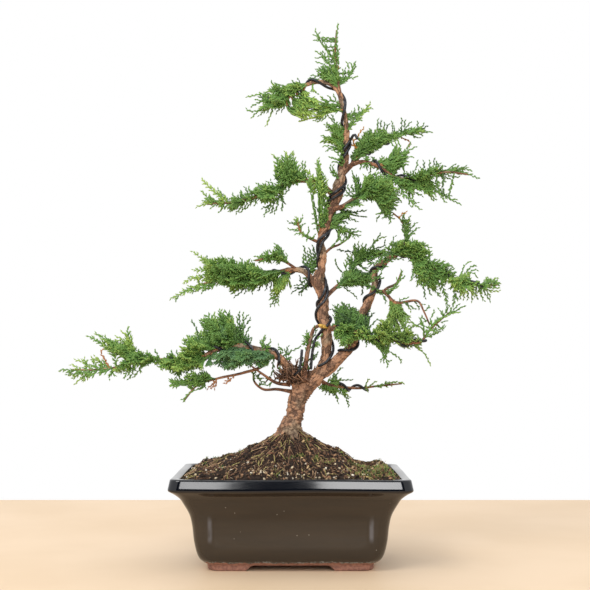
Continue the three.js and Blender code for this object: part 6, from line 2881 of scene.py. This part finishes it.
    def _add_fibres(self, pile: Pile, tree: BVHTree, chance: random.Random) -> None:
        """Adds fine roots that run down the mound.

        Args:
            pile: Where they go.
            tree: The soil's faces.
            chance: The random numbers.
        """
        stalk = smooth_shape(3, 3)
        for _ in range(self.fibres):
            base, up = self._scatter(chance, tree, 0.75)
            down = Vector((base.x + 1, base.y, 0)).normalized()
            down += Vector([chance.gauss(0, 0.45) for _ in range(3)])
            reach = chance.uniform(4, 17)
            tip = base + down.normalized() * reach
            hit = self._below(tree, tip.x, tip.y)[0]
            if hit is None or hit.z < self.edge_height:
                continue
            tip.z = hit.z + chance.uniform(-0.3, 0.8)
            middle = (base + tip) / 2 + up * chance.uniform(0.4, 2.2)
            tone = chance.choice(self.fibre_tones)
            radius = chance.uniform(0.2, 0.52)
            curve = [np.array(point) for point in (base, middle, tip)]
            pile.bend(stalk, curve, (radius, radius * 0.6), (tone, tone))

    def _tufts(self, chance: random.Random) -> list[Place]:
        """Draws the moss tufts: a wide patch at the right front and small ones elsewhere.

        Args:
            chance: The source of random numbers.

        Returns:
            The tufts as (x, y, spread).
        """
        kinds = ((self.moss_patch, self.patch_tufts, 4.2), (self.moss_all_over, self.loose_tufts, 1.6))
        return [
            (*(chance.uniform(*limits) for limits in area), spread)
            for area, count, spread in kinds for _ in range(count)
        ]

    def _add_moss(self, pile: Pile, tree: BVHTree, chance: random.Random) -> None:
        """Adds the moss, blade by blade.

        Args:
            pile: Where it goes.
            tree: The soil's faces.
            chance: The random numbers.
        """
        blade = smooth_shape(2, 3)
        tufts = self._tufts(chance)
        for _ in range(self.moss_blades):
            x, y, spread = chance.choice(tufts)
            hit = self._below(tree, x + chance.gauss(0, spread), y + chance.gauss(0, spread))[0]
            if hit is None or hit.z < self.edge_height:
                continue
            reach = chance.uniform(1.2, 4.0)
            lean = Vector((chance.gauss(0, 0.5), chance.gauss(0, 0.5), 1)).normalized()
            tip = hit + lean * reach
            middle = hit + Vector((0, 0, reach * 0.6))
            tone = chance.choice(self.moss_tones)
            tip_tone = tuple(part * 1.5 for part in tone)
            curve = [np.array(point) for point in (hit, middle, tip)]
            pile.bend(blade, curve, (0.34, 0.12), (tone, tip_tone))

    def build(self) -> None:
        """Adds the soil and what lies on it."""
        chance = random.Random(self.seed)
        bm = self.surface()
        tree = BVHTree.FromBMesh(bm)
        finish = TintedFinish("soil_mix", mottle_size=1.6, depth=0.7)
        show_piece("soil_mound", bm, [finish.material()], Slot.SOIL, "soil")
        grit = Pile()
        self._add_grains(grit, tree, chance)
        self._add_chips(grit, tree, chance)
        stony = TintedFinish("grit_and_bark", mottle_size=0.9, depth=0.3)
        show_piece("soil_grit", grit.bm, [stony.material()], Slot.SOIL)
        litter = Pile()
        self._add_fibres(litter, tree, chance)
        self._add_moss(litter, tree, chance)
        fibrous = TintedFinish("roots_and_moss", mottle_size=1.1, depth=0.15, roughness=0.75)
        show_piece("soil_roots_and_moss", litter.bm, [fibrous.material()], Slot.SOIL)


@dataclass
class Screens:
    """The plastic screens over the drainage holes keep their own shape."""

    names: tuple = ("drainage_screen_left", "drainage_screen_right")

    def build(self) -> None:
        """Gives the screens their finish."""
        finish = ScreenFinish().material()
        for name in self.names:
            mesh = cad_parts[name].data
            mesh.materials.clear()
            mesh.materials.append(finish)
            LOG.info("%s: finished", name)


@dataclass(frozen=True)
class SoftLight:
    """A rectangular light: its place and size in metres, and its power in watts."""

    name: str
    place: Place
    aim: Place
    size: tuple[float, float]
    power: float

    def build(self) -> None:
        """Adds the light to the scene."""
        data = bpy.data.lights.new(self.name, "AREA")
        data.shape = "RECTANGLE"
        data.size, data.size_y = self.size
        data.energy = self.power
        light = bpy.data.objects.new(self.name, data)
        light.location = self.place
        way = Vector(self.aim) - Vector(self.place)
        light.rotation_euler = way.to_track_quat("-Z", "Y").to_euler()
        bpy.context.scene.collection.objects.link(light)


@dataclass
class Studio:
    """The camera at the reference view, the pale floor and the soft lights. Sizes are in metres."""

    view: ReferenceView = VIEW
    lens: float = 72.12
    floor_back: float = 0.447
    floor_half: float = 2.2
    floor_colour: Colour = (0.74, 0.55, 0.36)
    floor_pale: Colour = (0.79, 0.60, 0.41)
    wall_colour: Colour = (0.01, 0.012, 0.016)
    wall_half: float = 1.15
    wall_place: Place = (0, -2.8, 0.95)
    lights: tuple[SoftLight, ...] = (
        SoftLight("key", (-1.1, -1.5, 1.9), (0, 0, 0.2), (1.0, 1.0), 26),
        SoftLight("window_left", (-0.275, -2.6, 1.02), (0, 0, 0.1), (0.17, 0.9), 4.8),
        SoftLight("window_right", (0.245, -2.6, 1.02), (0, 0, 0.1), (0.32, 0.9), 10.6),
    )

    def _camera(self) -> None:
        """Adds the camera, as far off and as high as the reference view has it."""
        data = bpy.data.cameras.new("camera")
        data.lens = self.lens
        data.sensor_width = 36
        camera = bpy.data.objects.new("camera", data)
        camera.location = pot_to_frame() @ Vector(self.view.eye)
        camera.rotation_euler = (math.radians(90 + self.view.tilt_up), 0, 0)
        bpy.context.scene.collection.objects.link(camera)
        bpy.context.scene.camera = camera

    def _floor(self) -> None:
        """Adds a plain pale surface."""
        bm = bmesh.new()
        bmesh.ops.create_grid(bm, x_segments=2, y_segments=2, size=1)
        depth = (self.floor_half + self.floor_back) / 2
        bmesh.ops.scale(bm, vec=(self.floor_half, depth, 1), verts=bm.verts)
        shift = (self.floor_back - self.floor_half) / 2
        bmesh.ops.translate(bm, vec=(0, shift, 0), verts=bm.verts)
        mesh = bpy.data.meshes.new("floor")
        bm.to_mesh(mesh)
        bm.free()
        g = Graph("floor")
        shade = g.mix(g.noise(160, 3).between(0.3, 0.7), self.floor_colour, self.floor_pale)
        mesh.materials.append(g.surface(Base_Color=shade, Roughness=0.55))
        floor = bpy.data.objects.new("floor", mesh)
        bpy.context.scene.collection.objects.link(floor)

    def _dark_side(self) -> None:
        """Adds a dark wall behind the camera that only glossy surfaces see, as a room's unlit side."""
        bm = bmesh.new()
        place = Matrix.Translation(self.wall_place) @ Matrix.Rotation(math.radians(90), 4, "X")
        bmesh.ops.create_grid(bm, x_segments=1, y_segments=1, size=self.wall_half, matrix=place)
        mesh = bpy.data.meshes.new("dark_side")
        bm.to_mesh(mesh)
        bm.free()
        finish = Graph("dark_side").surface(Base_Color=self.wall_colour, Roughness=1.0)
        mesh.materials.append(finish)
        wall = bpy.data.objects.new("dark_side", mesh)
        bpy.context.scene.collection.objects.link(wall)
        wall.visible_camera = False
        wall.visible_diffuse = False
        wall.visible_shadow = False

    def build(self) -> None:
        """Sets the stage."""
        self._camera()
        self._floor()
        self._dark_side()
        world = bpy.data.worlds.new("studio")
        world.use_nodes = True
        background = world.node_tree.nodes["Background"].inputs
        background["Color"].default_value = (1, 1, 1, 1)
        background["Strength"].default_value = 1.0
        bpy.context.scene.world = world
        bpy.context.scene.view_settings.view_transform = "Standard"
        for light in self.lights:
            light.build()


def main() -> None:
    """Builds the stage and the bonsai, piece by piece."""
    logging.basicConfig(level=logging.INFO, format="%(name)s %(message)s")
    Studio().build()
    pot = Pot()
    pot.build()
    Screens().build()
    Soil(pot).build()
    Wood().build()
    Wires().build()
    Foliage().build()


if __name__ == "__main__":
    main()
